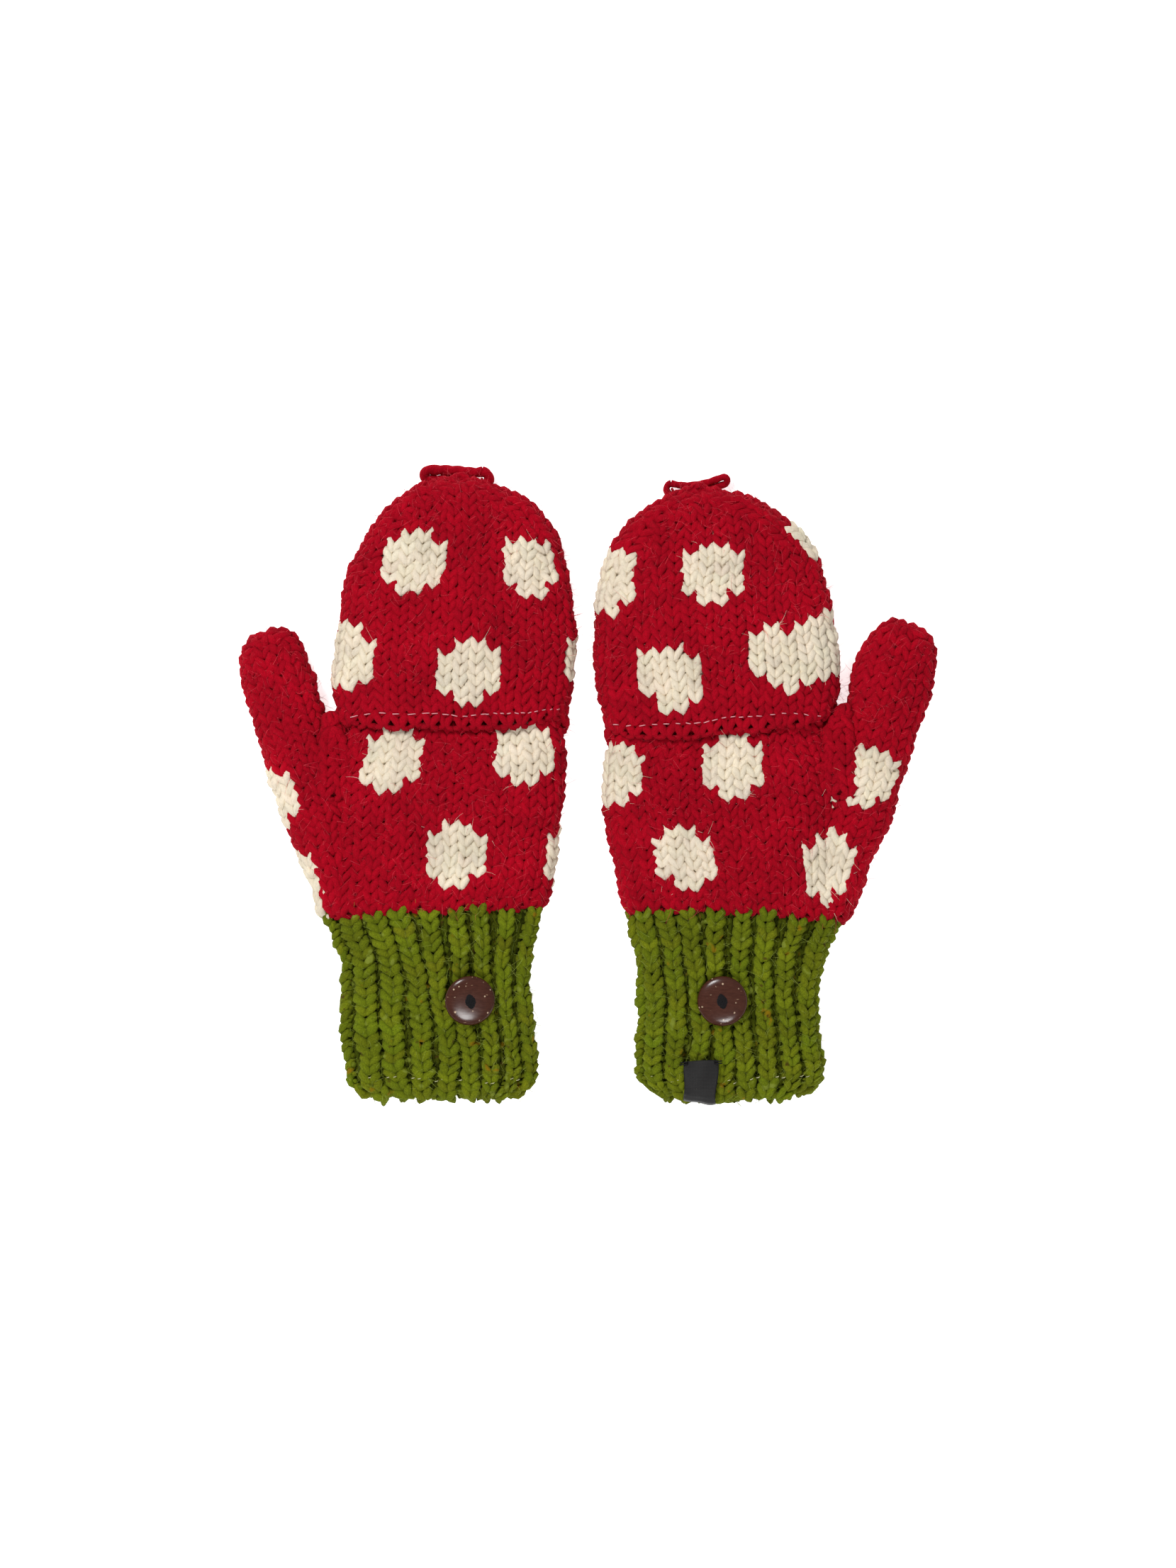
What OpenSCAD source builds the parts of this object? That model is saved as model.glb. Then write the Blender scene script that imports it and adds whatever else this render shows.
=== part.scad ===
/* [Fabric] */
// Thickness of the flap's knitted wall
flap_wall = 4; // [3:0.5:4]
// Thickness of the knitted wall of the hand, thumb and cuff
glove_wall = 3.5; // [2.5:0.5:4]
// Thickness of the half-finger sleeves' wall
sleeve_wall = 2.5; // [1.5:0.5:3]
// Thickness of the lining band inside the cuff
lining_t = 1.5; // [1:0.25:2]

/* [Flap] */
// Height of the fold line above the table
hinge_z = 28; // [28:0.5:30]
// How far the palm-side lip reaches back past the fold line
lip_overlap = 20; // [14:1:20]
// Depth of the side of the mouth, below the fold line
mouth_depth = 9; // [7:0.5:10]
// Width of the hem strip that stays on the hand below the fold line
hem_w = 5.6; // [4:0.2:7]
// Thickness of the hem strip
hem_t = 3; // [2:0.25:3.5]

/* [Loop] */
// Length of the button loop between the middles of its two bends
loop_reach = 20.8; // [18:0.2:24]
// Thickness of the right loop's cord
right_loop_cord = 3.2; // [2.8:0.1:3.4]
// Thickness of the left loop's cord
left_loop_cord = 2.2; // [2:0.1:2.6]
// Radius of the thread staple that holds the loop
staple_r = 0.55; // [0.4:0.05:0.6]

/* [Thumb] */
// Radius of the round crease that the thumb swings about
crease_r = 16; // [15:0.5:18]
// Clearance in the crease
crease_gap = 0.5; // [0.4:0.1:1]

/* [Cuff] */
// Ribs round the cuff
rib_count = 17; // [13:1:19]
// Height of a rib above the groove beside it
rib_depth = 1.3; // [0.6:0.1:1.6]

/* [Button] */
// Diameter of the buttons
button_d = 20; // [16:0.5:22]
// Thickness of the buttons at the rim
button_t = 3.2; // [2.6:0.2:4]
// Radius of the two sewing holes
button_hole_r = 1; // [0.8:0.1:1.2]
// Distance between the sewing holes
button_hole_gap = 3.4; // [3:0.2:4]

/* [Label] */
// Width of the cloth label on the left cuff
label_w = 13.4; // [10:0.2:16]
// Length of the label's outer panel
label_l = 17.4; // [12:0.2:18]
// Thickness of the label
label_t = 0.6; // [0.4:0.1:0.8]

/* [Quality] */
// Facets round each knitted tube
tube_sides = 32; // [24:4:36]

/* [Hidden] */

RED = [0.66, 0.03, 0.08];
CREAM = [0.9, 0.84, 0.72];
OLIVE = [0.36, 0.36, 0.16];
LINING = [0.2, 0.2, 0.13];
COCONUT = [0.2, 0.11, 0.07];
THREAD = [0.06, 0.05, 0.05];
PINK = [0.93, 0.62, 0.62];
SATIN = [0.05, 0.05, 0.06];

// Every knitted tube lies along Y. A row is [along, left, right, low, high]: the place of one
// cross-section and its four outer edges. Sections are flattened rounds of this exponent.
roundness = 2.6;
thumb_roundness = 2.2;

right_flap_rows = [
    [4, -100.8, -5.6, 0, 28], [29.5, -101.4, -5.2, 0, 28], [44, -102, -4.2, 0, 27.8],
    [61, -99.2, -5.2, 0, 26.4], [79, -96.2, -7.6, 0, 24.4], [96, -89.5, -10.8, 0.4, 22],
    [108, -81, -18, 2, 19.4], [115, -70.5, -29, 4.4, 16.8], [118.4, -61, -40, 7.2, 13.8],
    [119.2, -54, -47, 9, 11.6]];
left_flap_rows = [
    [2, 5, 98.6, 0, 28], [27, 4.4, 99.6, 0, 28], [43, 2, 100.8, 0, 27.8],
    [60, 2.4, 97.8, 0, 26.4], [76, 3.4, 94.4, 0, 24.6], [91, 8.2, 90.8, 0.4, 22.2],
    [103.5, 18, 80, 2, 19.6], [111.6, 28, 67.6, 4.4, 16.8], [115.2, 35, 55, 7.2, 13.8],
    [116.2, 41, 49, 9, 11.6]];
right_hand_rows = [
    [-48.6, -104.4, -17.6, 0.2, 21.4], [-36, -103.4, -13.8, 0, 23], [-18, -102.4, -11.2, 0, 23.9],
    [-3, -101, -9.8, 1.6, 24.1], [9, -98.6, -9.2, 4.5, 23.9], [20, -95.8, -10.4, 4.9, 23.4],
    [34, -94.6, -11.6, 5.6, 23]];
left_hand_rows = [
    [-49.6, 14.7, 101.4, 0.2, 21.4], [-38, 12.4, 101.2, 0, 23], [-19, 7.8, 100.8, 0, 23.9],
    [-5, 5.9, 99.4, 1.6, 24.1], [7, 5.9, 96.4, 4.5, 23.9], [18, 10.2, 93.2, 4.9, 23.4],
    [32, 10.6, 93, 5.6, 23]];
right_cuff_rows = [
    [-125.6, -89.6, -26.4, 2.4, 18.2], [-120.5, -95.2, -21.2, 0.4, 20.2], [-107, -96.3, -20.4, 0, 20.6],
    [-89, -97.4, -21.8, 0, 20.4], [-72, -97.8, -21.8, 0, 20.4], [-60, -101.2, -19.4, 0, 20.8],
    [-48.8, -104.2, -17.8, 0.2, 21.2]];
left_cuff_rows = [
    [-125.6, 24.4, 88.6, 2.4, 18.2], [-120.5, 20, 93, 0.4, 20.2], [-108, 19.2, 92.8, 0, 20.6],
    [-94, 20.8, 91.6, 0, 20.4], [-79, 19.8, 92.2, 0, 20.4], [-63, 18.2, 95.6, 0, 20.8],
    [-49.8, 14.9, 101.2, 0.2, 21.2]];
// The thumb's rows run along its own axis, from the crease.
right_thumb_rows = [
    [-36, -7.5, 9, 2.5, 18], [-20, -9.4, 12, 0.8, 20], [0, -12.2, 14, 0, 20.8],
    [20, -14.2, 14, 0, 20.6], [42, -14.8, 13.6, 0, 19.6], [58, -14.9, 12.8, 0.2, 18.6],
    [68, -12.4, 10.8, 1.4, 16.6], [73, -7.6, 6.8, 3.8, 13.6], [74.4, -3, 2.4, 6.8, 10.4]];
left_thumb_rows = [
    [-37, -9, 8.6, 2.5, 18], [-20, -12, 11.8, 0.8, 20], [0, -13.6, 14, 0, 20.8],
    [20, -13, 14.2, 0, 20.6], [40, -13.4, 16, 0, 20], [56, -15.2, 16, 0.2, 19],
    [69, -13, 13.6, 1.4, 16.8], [75.4, -8, 8.6, 3.8, 13.8], [77.2, -3.4, 3.8, 6.8, 10.4]];

// Crease centre and the thumb axis's lean from straight ahead, in degrees
right_thumb_at = [-108, -12];
left_thumb_at = [105, -12];
right_thumb_lean = 14.5;
left_thumb_lean = -16;

// Middle of the fold line, and its slant, in degrees
right_hinge_at = [-53, 29.2];
left_hinge_at = [52, 27];
right_hinge_slant = 1.5;
left_hinge_slant = 3.4;

// Each sleeve is [left, right, tip, sideways lean, flatness] from the hand's open end: its root's
// edges, how far along it ends, how far its tip leans, and how much lower and thinner it is.
sleeve_low = 6.4;
sleeve_high = 21.8;
right_sleeves = [[-93.6, -73.4, 71, 2.6, 1.2], [-73, -51.2, 76, 1, 0], [-50.8, -30, 73, -0.8, 0],
    [-29.6, -12.4, 64, -2.2, 1.2]];
left_sleeves = [[72, 92.2, 69, -2.8, 1.2], [50, 71.6, 74, -1.2, 0], [29, 49.6, 71, 0.6, 0],
    [11.6, 28.6, 62, 2, 1.2]];
sleeve_root = 2;

// Loop: where the staple stands, its height, and the way the loop lies, in degrees
right_loop_at = [-42.2, 121.4, 3.2];
left_loop_at = [33.4, 117.4, 3.2];
right_loop_way = 176;
left_loop_way = 9;
loop_slit = 1.4;

right_button_at = [-46.7, -84.4];
left_button_at = [53.1, -86.5];
right_button_tilt = [9, 7];
left_button_tilt = [2, -3];
button_turn = 103;
button_lift = 1.6;

left_label_at = [44.6, -126.7];

// Cream spots: [along, arc length from the middle of the back, width, height]
spot_w = 27;
spot_h = 25;
spot_sides = 16;
right_flap_spots_at = [[87.4, -18.5], [86, 27.5], [49, -45.5], [45.4, 3.9], [50.1, 48]];
left_flap_spots_at = [[84.3, 0.5], [81.2, -41], [94, 41.5], [42.8, -21], [49, 26], [55.2, 45]];
right_hand_spots_at = [[10, -23.5], [10, 28.6], [-29.7, 4.6], [-29.4, 46]];
left_hand_spots_at = [[3.6, -45], [7.6, 7.6], [-31.4, -15], [-32.5, 43]];
right_thumb_spot_at = [9, -15];
left_thumb_spot_at = [16, 1.5];

// Seam stitches: distance along the fold line from its middle
right_seam_at = [-36.6, -12.5, 2.1, 7.5, 13.2, 24.5, 41.5];
left_seam_at = [-41.5, 3.8, 7.2, 12.8, 27.9, 37.7];
seam_stitch_l = 2.6;
seam_stitch_r = 0.45;
lining_stitch_r = 0.5;
lining_stitch_l = 1.6;
lining_stitch_row = -118;
right_lining_stitches_at = [for (i = [-3 : 3]) i * 9.4];
left_lining_stitches_at = [-29, -21.2, 0.6, 9.4, 18.8, 28.2];
stitch_fn = 16;

function catmull(p, q, r, s, t) =
    0.5 * (2 * q + (r - p) * t + (2 * p - 5 * q + 4 * r - s) * t * t + (3 * q - p - 3 * r + s) * t * t * t);
function on_table(row) = [row[0], row[1], row[2], max(row[3], 0), row[4]];
function row_at(rows, t) =
    let (n = len(rows) - 1, i = min(floor(t), n - 1))
    on_table(catmull(rows[max(i - 1, 0)], rows[i], rows[i + 1], rows[min(i + 2, n)], t - i));
function step_at(rows, y, lo, hi, turns) =
    turns == 0 ? (lo + hi) / 2 :
    let (mid = (lo + hi) / 2)
    row_at(rows, mid)[0] < y ? step_at(rows, y, mid, hi, turns - 1) : step_at(rows, y, lo, mid, turns - 1);
function row_at_y(rows, y) = row_at(rows, step_at(rows, y, 0, len(rows) - 1, 14));
function bend(v, e) = sign(v) * pow(abs(v), 2 / e);
function on_row(row, angle, inset, e) =
    let (a = max((row[2] - row[1]) / 2 - inset, 0.4), b = max((row[4] - row[3]) / 2 - inset, 0.4))
    [(row[1] + row[2]) / 2 + a * bend(cos(angle), e), row[0], (row[3] + row[4]) / 2 + b * bend(sin(angle), e)];
function top_z(row, x) =
    let (a = (row[2] - row[1]) / 2, b = (row[4] - row[3]) / 2)
    (row[3] + row[4]) / 2
    + b * pow(max(1 - pow(abs(x - (row[1] + row[2]) / 2) / a, roundness), 0), 1 / roundness);

function ring_faces(rings, sides) = concat(
    [[for (k = [sides - 1 : -1 : 0]) k]],
    [for (i = [0 : rings - 2]) for (k = [0 : sides - 1]) for (half = [0, 1])
        let (a = i * sides + k, b = i * sides + (k + 1) % sides)
        half == 0 ? [a, b, b + sides] : [a, b + sides, a + sides]],
    [[for (k = [0 : sides - 1]) (rings - 1) * sides + k]]);

// A closed solid over part of a table of rows, from row number t0 to t1, drawn in by inset,
// with fine rings to each row.
module tube(rows, t0, t1, inset, sides, e = roundness, before = 0, after = 0, fine = 2) {
    n = ceil((t1 - t0) * fine);
    rings = [for (i = [0 : n])
        row_at(rows, t0 + (t1 - t0) * i / n) + [i == 0 ? -before : i == n ? after : 0, 0, 0, 0, 0]];
    points = [for (row = rings) for (k = [0 : sides - 1])
        on_row(row, 360 * k / sides, inset, e)];
    polyhedron(points, ring_faces(n + 1, sides), convexity = 6);
}

// A tube wall in one solid, open at both ends: its rings run up the outside and back down the
// inside. The outside is ribbed, each rib between two points of its groove.
module ribbed_wall(rows, thickness, ribs) {
    last = len(rows) - 1;
    sides = rib_count * 3;
    rings = 2 * last + 2;
    points = [for (i = [0 : rings - 1]) for (k = [0 : sides - 1])
        let (angle = 360 * k / sides, outside = i <= last)
        on_row(row_at(rows, outside ? i : rings - 1 - i), angle,
            outside ? ribs / 2 * (1 - cos(angle * rib_count)) : thickness, roundness)];
    faces = [for (i = [0 : rings - 1]) for (k = [0 : sides - 1]) for (half = [0, 1])
        let (next = (i + 1) % rings * sides, a = i * sides + k, b = i * sides + (k + 1) % sides,
            c = next + k, d = next + (k + 1) % sides)
        half == 0 ? [a, b, d] : [a, d, c]];
    polyhedron(points, faces, convexity = 6);
}

// A thin patch that follows a tube's surface, part sunk into it.
module patch(rows, y, arc, e) {
    row = row_at_y(rows, y);
    arcs = [for (i = 0, s = 0; i <= 180; i = i + 1,
        s = s + norm(on_row(row, 90 - i, 0, e) - on_row(row, 91 - i, 0, e))) s];
    sunk = 0.7;
    proud = 0.5;
    cells = concat([[0, 0]], [for (r = [0.6, 1]) for (k = [0 : spot_sides - 1])
        let (c = cos(360 * k / spot_sides), s = sin(360 * k / spot_sides))
        [spot_w / 2 * r * bend(c, 3), spot_h / 2 * r * bend(s, 3)]]);
    function angle_of(s) =
        let (below = len([for (a = arcs) if (a < abs(s)) 1]),
            f = (abs(s) - arcs[below - 1]) / (arcs[below] - arcs[below - 1]))
        90 - sign(s) * (below - 1 + f);
    function spot_point(c, inset) = on_row(row_at_y(rows, y + c[1]), angle_of(arc + c[0]), inset, e);
    m = len(cells);
    points = concat([for (c = cells) spot_point(c, -proud)], [for (c = cells) spot_point(c, sunk)]);
    faces = [for (k = [0 : spot_sides - 1]) for (f =
        let (j = (k + 1) % spot_sides, a = 1 + k, b = 1 + j, c = a + spot_sides, d = b + spot_sides)
        [[0, b, a], [a, b, d], [a, d, c], [m, m + a, m + b], [m + a, m + d, m + b],
            [m + a, m + c, m + d], [c, d, m + d], [c, m + d, m + c]]) f];
    polyhedron(points, faces, convexity = 4);
}

module at_thumb(at, lean) translate([at[0], at[1], 0]) rotate([0, 0, lean]) children();
module at_hinge(at, slant) translate([at[0], at[1], hinge_z]) rotate([0, 0, slant]) children();

// The thumb's side of the crease, and the hand's side of it, in the thumb's own frame
module beyond_crease() {
    reach = 60;
    difference() {
        children();
        translate([0, 0, -1]) cylinder(r = crease_r + crease_gap, h = reach, $fn = 64);
        translate([-reach / 2, -reach, -1]) cube([reach, reach, reach]);
    }
}
module before_crease() {
    reach = 60;
    intersection() {
        children();
        union() {
            translate([0, 0, -1]) cylinder(r = crease_r, h = reach, $fn = 64);
            translate([-reach / 2, -reach, -1]) cube([reach, reach, reach]);
        }
    }
}

// The hand: a flat tube open at both ends, with the thumb's gusset grown out of its side.
module hand(rows, thumb_rows, thumb_at, thumb_lean) {
    last = len(rows) - 1;
    color(RED) difference() {
        union() {
            tube(rows, 0, last, 0, tube_sides);
            at_thumb(thumb_at, thumb_lean) before_crease()
                tube(thumb_rows, 0, 4, 0, tube_sides * 3 / 4, thumb_roundness);
        }
        tube(rows, 0, last, glove_wall, tube_sides, before = 1, after = 1);
        at_thumb(thumb_at, thumb_lean)
            tube(thumb_rows, 0, 4, glove_wall, tube_sides * 3 / 4, thumb_roundness);
    }
}

// The thumb beyond the crease, closed at its tip.
module thumb(rows, at, lean, hand_rows) {
    last = len(rows) - 1;
    color(RED) difference() {
        at_thumb(at, lean) beyond_crease() difference() {
            tube(rows, 2, last, 0, tube_sides * 3 / 4, thumb_roundness);
            tube(rows, 1, last - 1.6, glove_wall, tube_sides * 3 / 4, thumb_roundness);
        }
        tube(hand_rows, 2, len(hand_rows) - 1, -crease_gap, tube_sides);
    }
}

module sleeve(span, root) {
    taper = 0.8;
    thin = span[4];
    rows = [
        [root - sleeve_root, span[0], span[1], sleeve_low + thin, sleeve_high - thin],
        [(root + span[2]) / 2, span[0] + (span[3] + taper) / 2, span[1] + (span[3] - taper) / 2,
            sleeve_low + thin, sleeve_high - thin - taper],
        [span[2], span[0] + span[3] + taper, span[1] + span[3] - taper,
            sleeve_low + thin, sleeve_high - thin - 2 * taper]];
    color(RED) difference() {
        tube(rows, 0, 2, 0, 20, fine = 1);
        tube(rows, 0, 2, sleeve_wall, 20, before = 1, after = 1, fine = 1);
    }
}

module cuff(rows) color(OLIVE) ribbed_wall(rows, glove_wall, rib_depth);

module cuff_lining(rows) {
    gap = 0.3;
    color(LINING) difference() {
        tube(rows, 1.2, 4.8, glove_wall + gap, tube_sides, fine = 1);
        tube(rows, 1.2, 4.8, glove_wall + gap + lining_t, tube_sides, before = 1, after = 1, fine = 1);
    }
}

module stitch(l, r) {
    rotate([0, 90, 0]) cylinder(h = l, r = r, center = true, $fn = stitch_fn);
    for (side = [-1, 1]) translate([side * l / 2, 0, 0]) sphere(r = r, $fn = stitch_fn);
}

module lining_stitches(rows, places) {
    row = row_at_y(rows, lining_stitch_row);
    middle = (row[1] + row[2]) / 2;
    color(CREAM) for (s = places)
        translate([middle + s, lining_stitch_row, top_z(row, middle + s) - 0.2])
            rotate([0, 0, 90]) stitch(lining_stitch_l, lining_stitch_r);
}

module hem(rows, at, slant) {
    last = len(rows) - 1;
    gap = 0.5;
    color(RED) difference() {
        intersection() {
            tube(rows, 4, last, -hem_t, tube_sides);
            at_hinge(at, slant) translate([-60, -hem_w, -mouth_depth + gap]) cube([120, hem_w - gap, 20]);
        }
        tube(rows, 4, last, 0, tube_sides, before = 1);
    }
}

module seam_stitches(rows, at, slant, places) {
    back = 1.6;
    color(PINK) for (s = places)
        let (x = at[0] + s * cos(slant) + back * sin(slant), y = at[1] + s * sin(slant) - back * cos(slant),
            row = row_at_y(rows, y) + [0, -hem_t, hem_t, -hem_t, hem_t])
        translate([x, y, top_z(row, x) - 0.1]) rotate([0, 0, slant]) stitch(seam_stitch_l, seam_stitch_r);
}

// The flap: a pocket shut at its tip. Its mouth is cut back to the fold line across the back and
// runs down to the lip that overlaps the palm.
module flap(rows, at, slant) {
    last = len(rows) - 1;
    far = 140;
    color(RED) intersection() {
        difference() {
            tube(rows, 0, last, 0, tube_sides);
            tube(rows, 0, last - 1.7, flap_wall, tube_sides, before = 1);
        }
        at_hinge(at, slant) rotate([90, 0, 90]) linear_extrude(height = far, center = true)
            polygon([[0, 10], [0, -mouth_depth], [-lip_overlap, -hinge_z], [-lip_overlap, -hinge_z - 5],
                [far, -hinge_z - 5], [far, 10]]);
    }
}

// A flattened ring of round cord, in its own plane, with the staple's hole at the origin.
module loop(at, way, cord) {
    bend_r = (loop_slit + cord) / 2;
    color(RED) translate(at) rotate([0, 0, way]) {
        for (end = [0, 1]) translate([end * loop_reach, 0, 0]) rotate([0, 0, end * 180 + 90])
            rotate_extrude(angle = 180, $fn = 48) translate([bend_r, 0]) circle(r = cord / 2, $fn = 32);
        for (side = [-1, 1]) translate([0, side * bend_r, 0]) rotate([0, 90, 0])
            cylinder(h = loop_reach, r = cord / 2, $fn = 32);
    }
}

// The staple of thread: a post through the loop's end and two arms into the flap's tip.
module loop_staple(at, cord, into) {
    gap = 0.3;
    arm_z = cord / 2 + gap + staple_r;
    color(RED) translate(at) {
        cylinder(h = 2 * arm_z, r = staple_r, center = true, $fn = 32);
        for (side = [-1, 1]) translate([0, 0, side * arm_z]) {
            sphere(r = staple_r, $fn = 32);
            rotate([0, 0, atan2(into[1], into[0])]) rotate([0, 90, 0])
                cylinder(h = norm(into), r = staple_r, $fn = 32);
        }
    }
}

function button_base(rows, at) = let (row = row_at_y(rows, at[1])) top_z(row, at[0]) + button_lift;

module at_button(rows, at, tilt) translate([at[0], at[1], button_base(rows, at)])
    rotate([tilt[0], tilt[1], 0]) rotate([0, 0, button_turn]) children();

module button(rows, at, tilt) {
    r = button_d / 2;
    color(COCONUT) at_button(rows, at, tilt) difference() {
        rotate_extrude($fn = 96) polygon([[0, 0], [r - 1.6, 0], [r - 0.4, 0.6], [r, 1.4], [r - 0.3, button_t - 0.6],
            [r - 1.3, button_t], [r - 2.6, button_t - 0.3], [r - 3.8, button_t - 0.9], [0, button_t - 0.9]]);
        for (side = [-1, 1]) translate([side * button_hole_gap / 2, 0, -1])
            cylinder(h = button_t + 2, r = button_hole_r, $fn = 32);
    }
}

module button_thread(rows, at, tilt) {
    r = button_hole_r - 0.2;
    top = button_t - 0.9 + r;
    root = button_lift + 1.2;
    color(THREAD) at_button(rows, at, tilt) {
        for (side = [-1, 1]) translate([side * button_hole_gap / 2, 0, -root]) {
            cylinder(h = root + top, r = r, $fn = 32);
            translate([0, 0, root + top]) sphere(r = r, $fn = 32);
        }
        translate([0, 0, top]) rotate([0, 90, 0]) cylinder(h = button_hole_gap, r = r, center = true, $fn = 32);
    }
}

// The label: a strip folded round the cuff's edge, outer panel longer than the inner one.
module label() {
    top = 21.1;
    inner_l = 4.2;
    inner_top = 13.2;
    color(SATIN) translate([left_label_at[0], left_label_at[1], 0]) rotate([90, 0, 90])
        linear_extrude(height = label_w, center = true) polygon([
            [0, inner_top], [0, top - 1.4], [1.2, top], [label_l, top], [label_l, top - label_t],
            [1.4, top - label_t], [label_t, top - 1.6], [label_t, inner_top + label_t],
            [inner_l, inner_top + label_t], [inner_l, inner_top]]);
}

module label_stitches() {
    color(THREAD) for (side = [-1, 1])
        translate([left_label_at[0] + side * (label_w / 2 - 1), left_label_at[1] + label_l, 21.2])
            rotate([0, 0, 90]) stitch(2.4, 0.5);
}

module spots(rows, places) color(CREAM) for (p = places) patch(rows, p[0], p[1], roundness);

// The spot that lies across the thumb's crease is in two parts, one on each side of it.
module crease_spot(rows, place) patch(rows, place[0], place[1], thumb_roundness);
module hand_spots(rows, places, thumb_rows, thumb_place, at, lean) {
    spots(rows, places);
    color(CREAM) at_thumb(at, lean) before_crease() crease_spot(thumb_rows, thumb_place);
}
module thumb_spot(rows, place, at, lean, hand_rows) color(CREAM) difference() {
    at_thumb(at, lean) beyond_crease() crease_spot(rows, place);
    tube(hand_rows, 2, len(hand_rows) - 1, -crease_gap, tube_sides);
}

module right_hand() hand(right_hand_rows, right_thumb_rows, right_thumb_at, right_thumb_lean);
module right_cuff() cuff(right_cuff_rows);
module right_cuff_lining() cuff_lining(right_cuff_rows);
module right_lining_stitches() lining_stitches(right_cuff_rows, right_lining_stitches_at);
module right_thumb() thumb(right_thumb_rows, right_thumb_at, right_thumb_lean, right_hand_rows);
module right_index_sleeve() sleeve(right_sleeves[0], right_hand_rows[6][0]);
module right_middle_sleeve() sleeve(right_sleeves[1], right_hand_rows[6][0]);
module right_ring_sleeve() sleeve(right_sleeves[2], right_hand_rows[6][0]);
module right_little_sleeve() sleeve(right_sleeves[3], right_hand_rows[6][0]);
module right_hem() hem(right_hand_rows, right_hinge_at, right_hinge_slant);
module right_seam_stitches() seam_stitches(right_hand_rows, right_hinge_at, right_hinge_slant, right_seam_at);
module right_flap() flap(right_flap_rows, right_hinge_at, right_hinge_slant);
module right_loop() loop(right_loop_at, right_loop_way, right_loop_cord);
module right_loop_staple() loop_staple(right_loop_at, right_loop_cord, [-4, -8]);
module right_button() button(right_cuff_rows, right_button_at, right_button_tilt);
module right_button_thread() button_thread(right_cuff_rows, right_button_at, right_button_tilt);
module right_hand_spots() hand_spots(right_hand_rows, right_hand_spots_at, right_thumb_rows,
    right_thumb_spot_at, right_thumb_at, right_thumb_lean);
module right_flap_spots() spots(right_flap_rows, right_flap_spots_at);
module right_thumb_spot() thumb_spot(right_thumb_rows, right_thumb_spot_at, right_thumb_at,
    right_thumb_lean, right_hand_rows);
module left_hand() hand(left_hand_rows, left_thumb_rows, left_thumb_at, left_thumb_lean);
module left_cuff() cuff(left_cuff_rows);
module left_cuff_lining() cuff_lining(left_cuff_rows);
module left_lining_stitches() lining_stitches(left_cuff_rows, left_lining_stitches_at);
module left_thumb() thumb(left_thumb_rows, left_thumb_at, left_thumb_lean, left_hand_rows);
module left_index_sleeve() sleeve(left_sleeves[0], left_hand_rows[6][0]);
module left_middle_sleeve() sleeve(left_sleeves[1], left_hand_rows[6][0]);
module left_ring_sleeve() sleeve(left_sleeves[2], left_hand_rows[6][0]);
module left_little_sleeve() sleeve(left_sleeves[3], left_hand_rows[6][0]);
module left_hem() hem(left_hand_rows, left_hinge_at, left_hinge_slant);
module left_seam_stitches() seam_stitches(left_hand_rows, left_hinge_at, left_hinge_slant, left_seam_at);
module left_flap() flap(left_flap_rows, left_hinge_at, left_hinge_slant);
module left_loop() loop(left_loop_at, left_loop_way, left_loop_cord);
module left_loop_staple() loop_staple(left_loop_at, left_loop_cord, [4, -7]);
module left_button() button(left_cuff_rows, left_button_at, left_button_tilt);
module left_button_thread() button_thread(left_cuff_rows, left_button_at, left_button_tilt);
module left_hand_spots() hand_spots(left_hand_rows, left_hand_spots_at, left_thumb_rows,
    left_thumb_spot_at, left_thumb_at, left_thumb_lean);
module left_flap_spots() spots(left_flap_rows, left_flap_spots_at);
module left_thumb_spot() thumb_spot(left_thumb_rows, left_thumb_spot_at, left_thumb_at,
    left_thumb_lean, left_hand_rows);
module left_label() label();
module left_label_stitches() label_stitches();

right_hand();
right_cuff();
right_cuff_lining();
right_lining_stitches();
right_thumb();
right_index_sleeve();
right_middle_sleeve();
right_ring_sleeve();
right_little_sleeve();
right_hem();
right_seam_stitches();
right_flap();
right_loop();
right_loop_staple();
right_button();
right_button_thread();
right_hand_spots();
right_flap_spots();
right_thumb_spot();
left_hand();
left_cuff();
left_cuff_lining();
left_lining_stitches();
left_thumb();
left_index_sleeve();
left_middle_sleeve();
left_ring_sleeve();
left_little_sleeve();
left_hem();
left_seam_stitches();
left_flap();
left_loop();
left_loop_staple();
left_button();
left_button_thread();
left_hand_spots();
left_flap_spots();
left_thumb_spot();
left_label();
left_label_stitches();
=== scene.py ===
"""A pair of hand-knitted flip-top mittens, laid flat with the backs of the hands up.

Every knitted wall is made of its real loops of yarn, laid in columns on the middle of the wall.
Lengths are in millimetres until a mesh is made, and turned into metres there.
"""

import functools
import math

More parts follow.
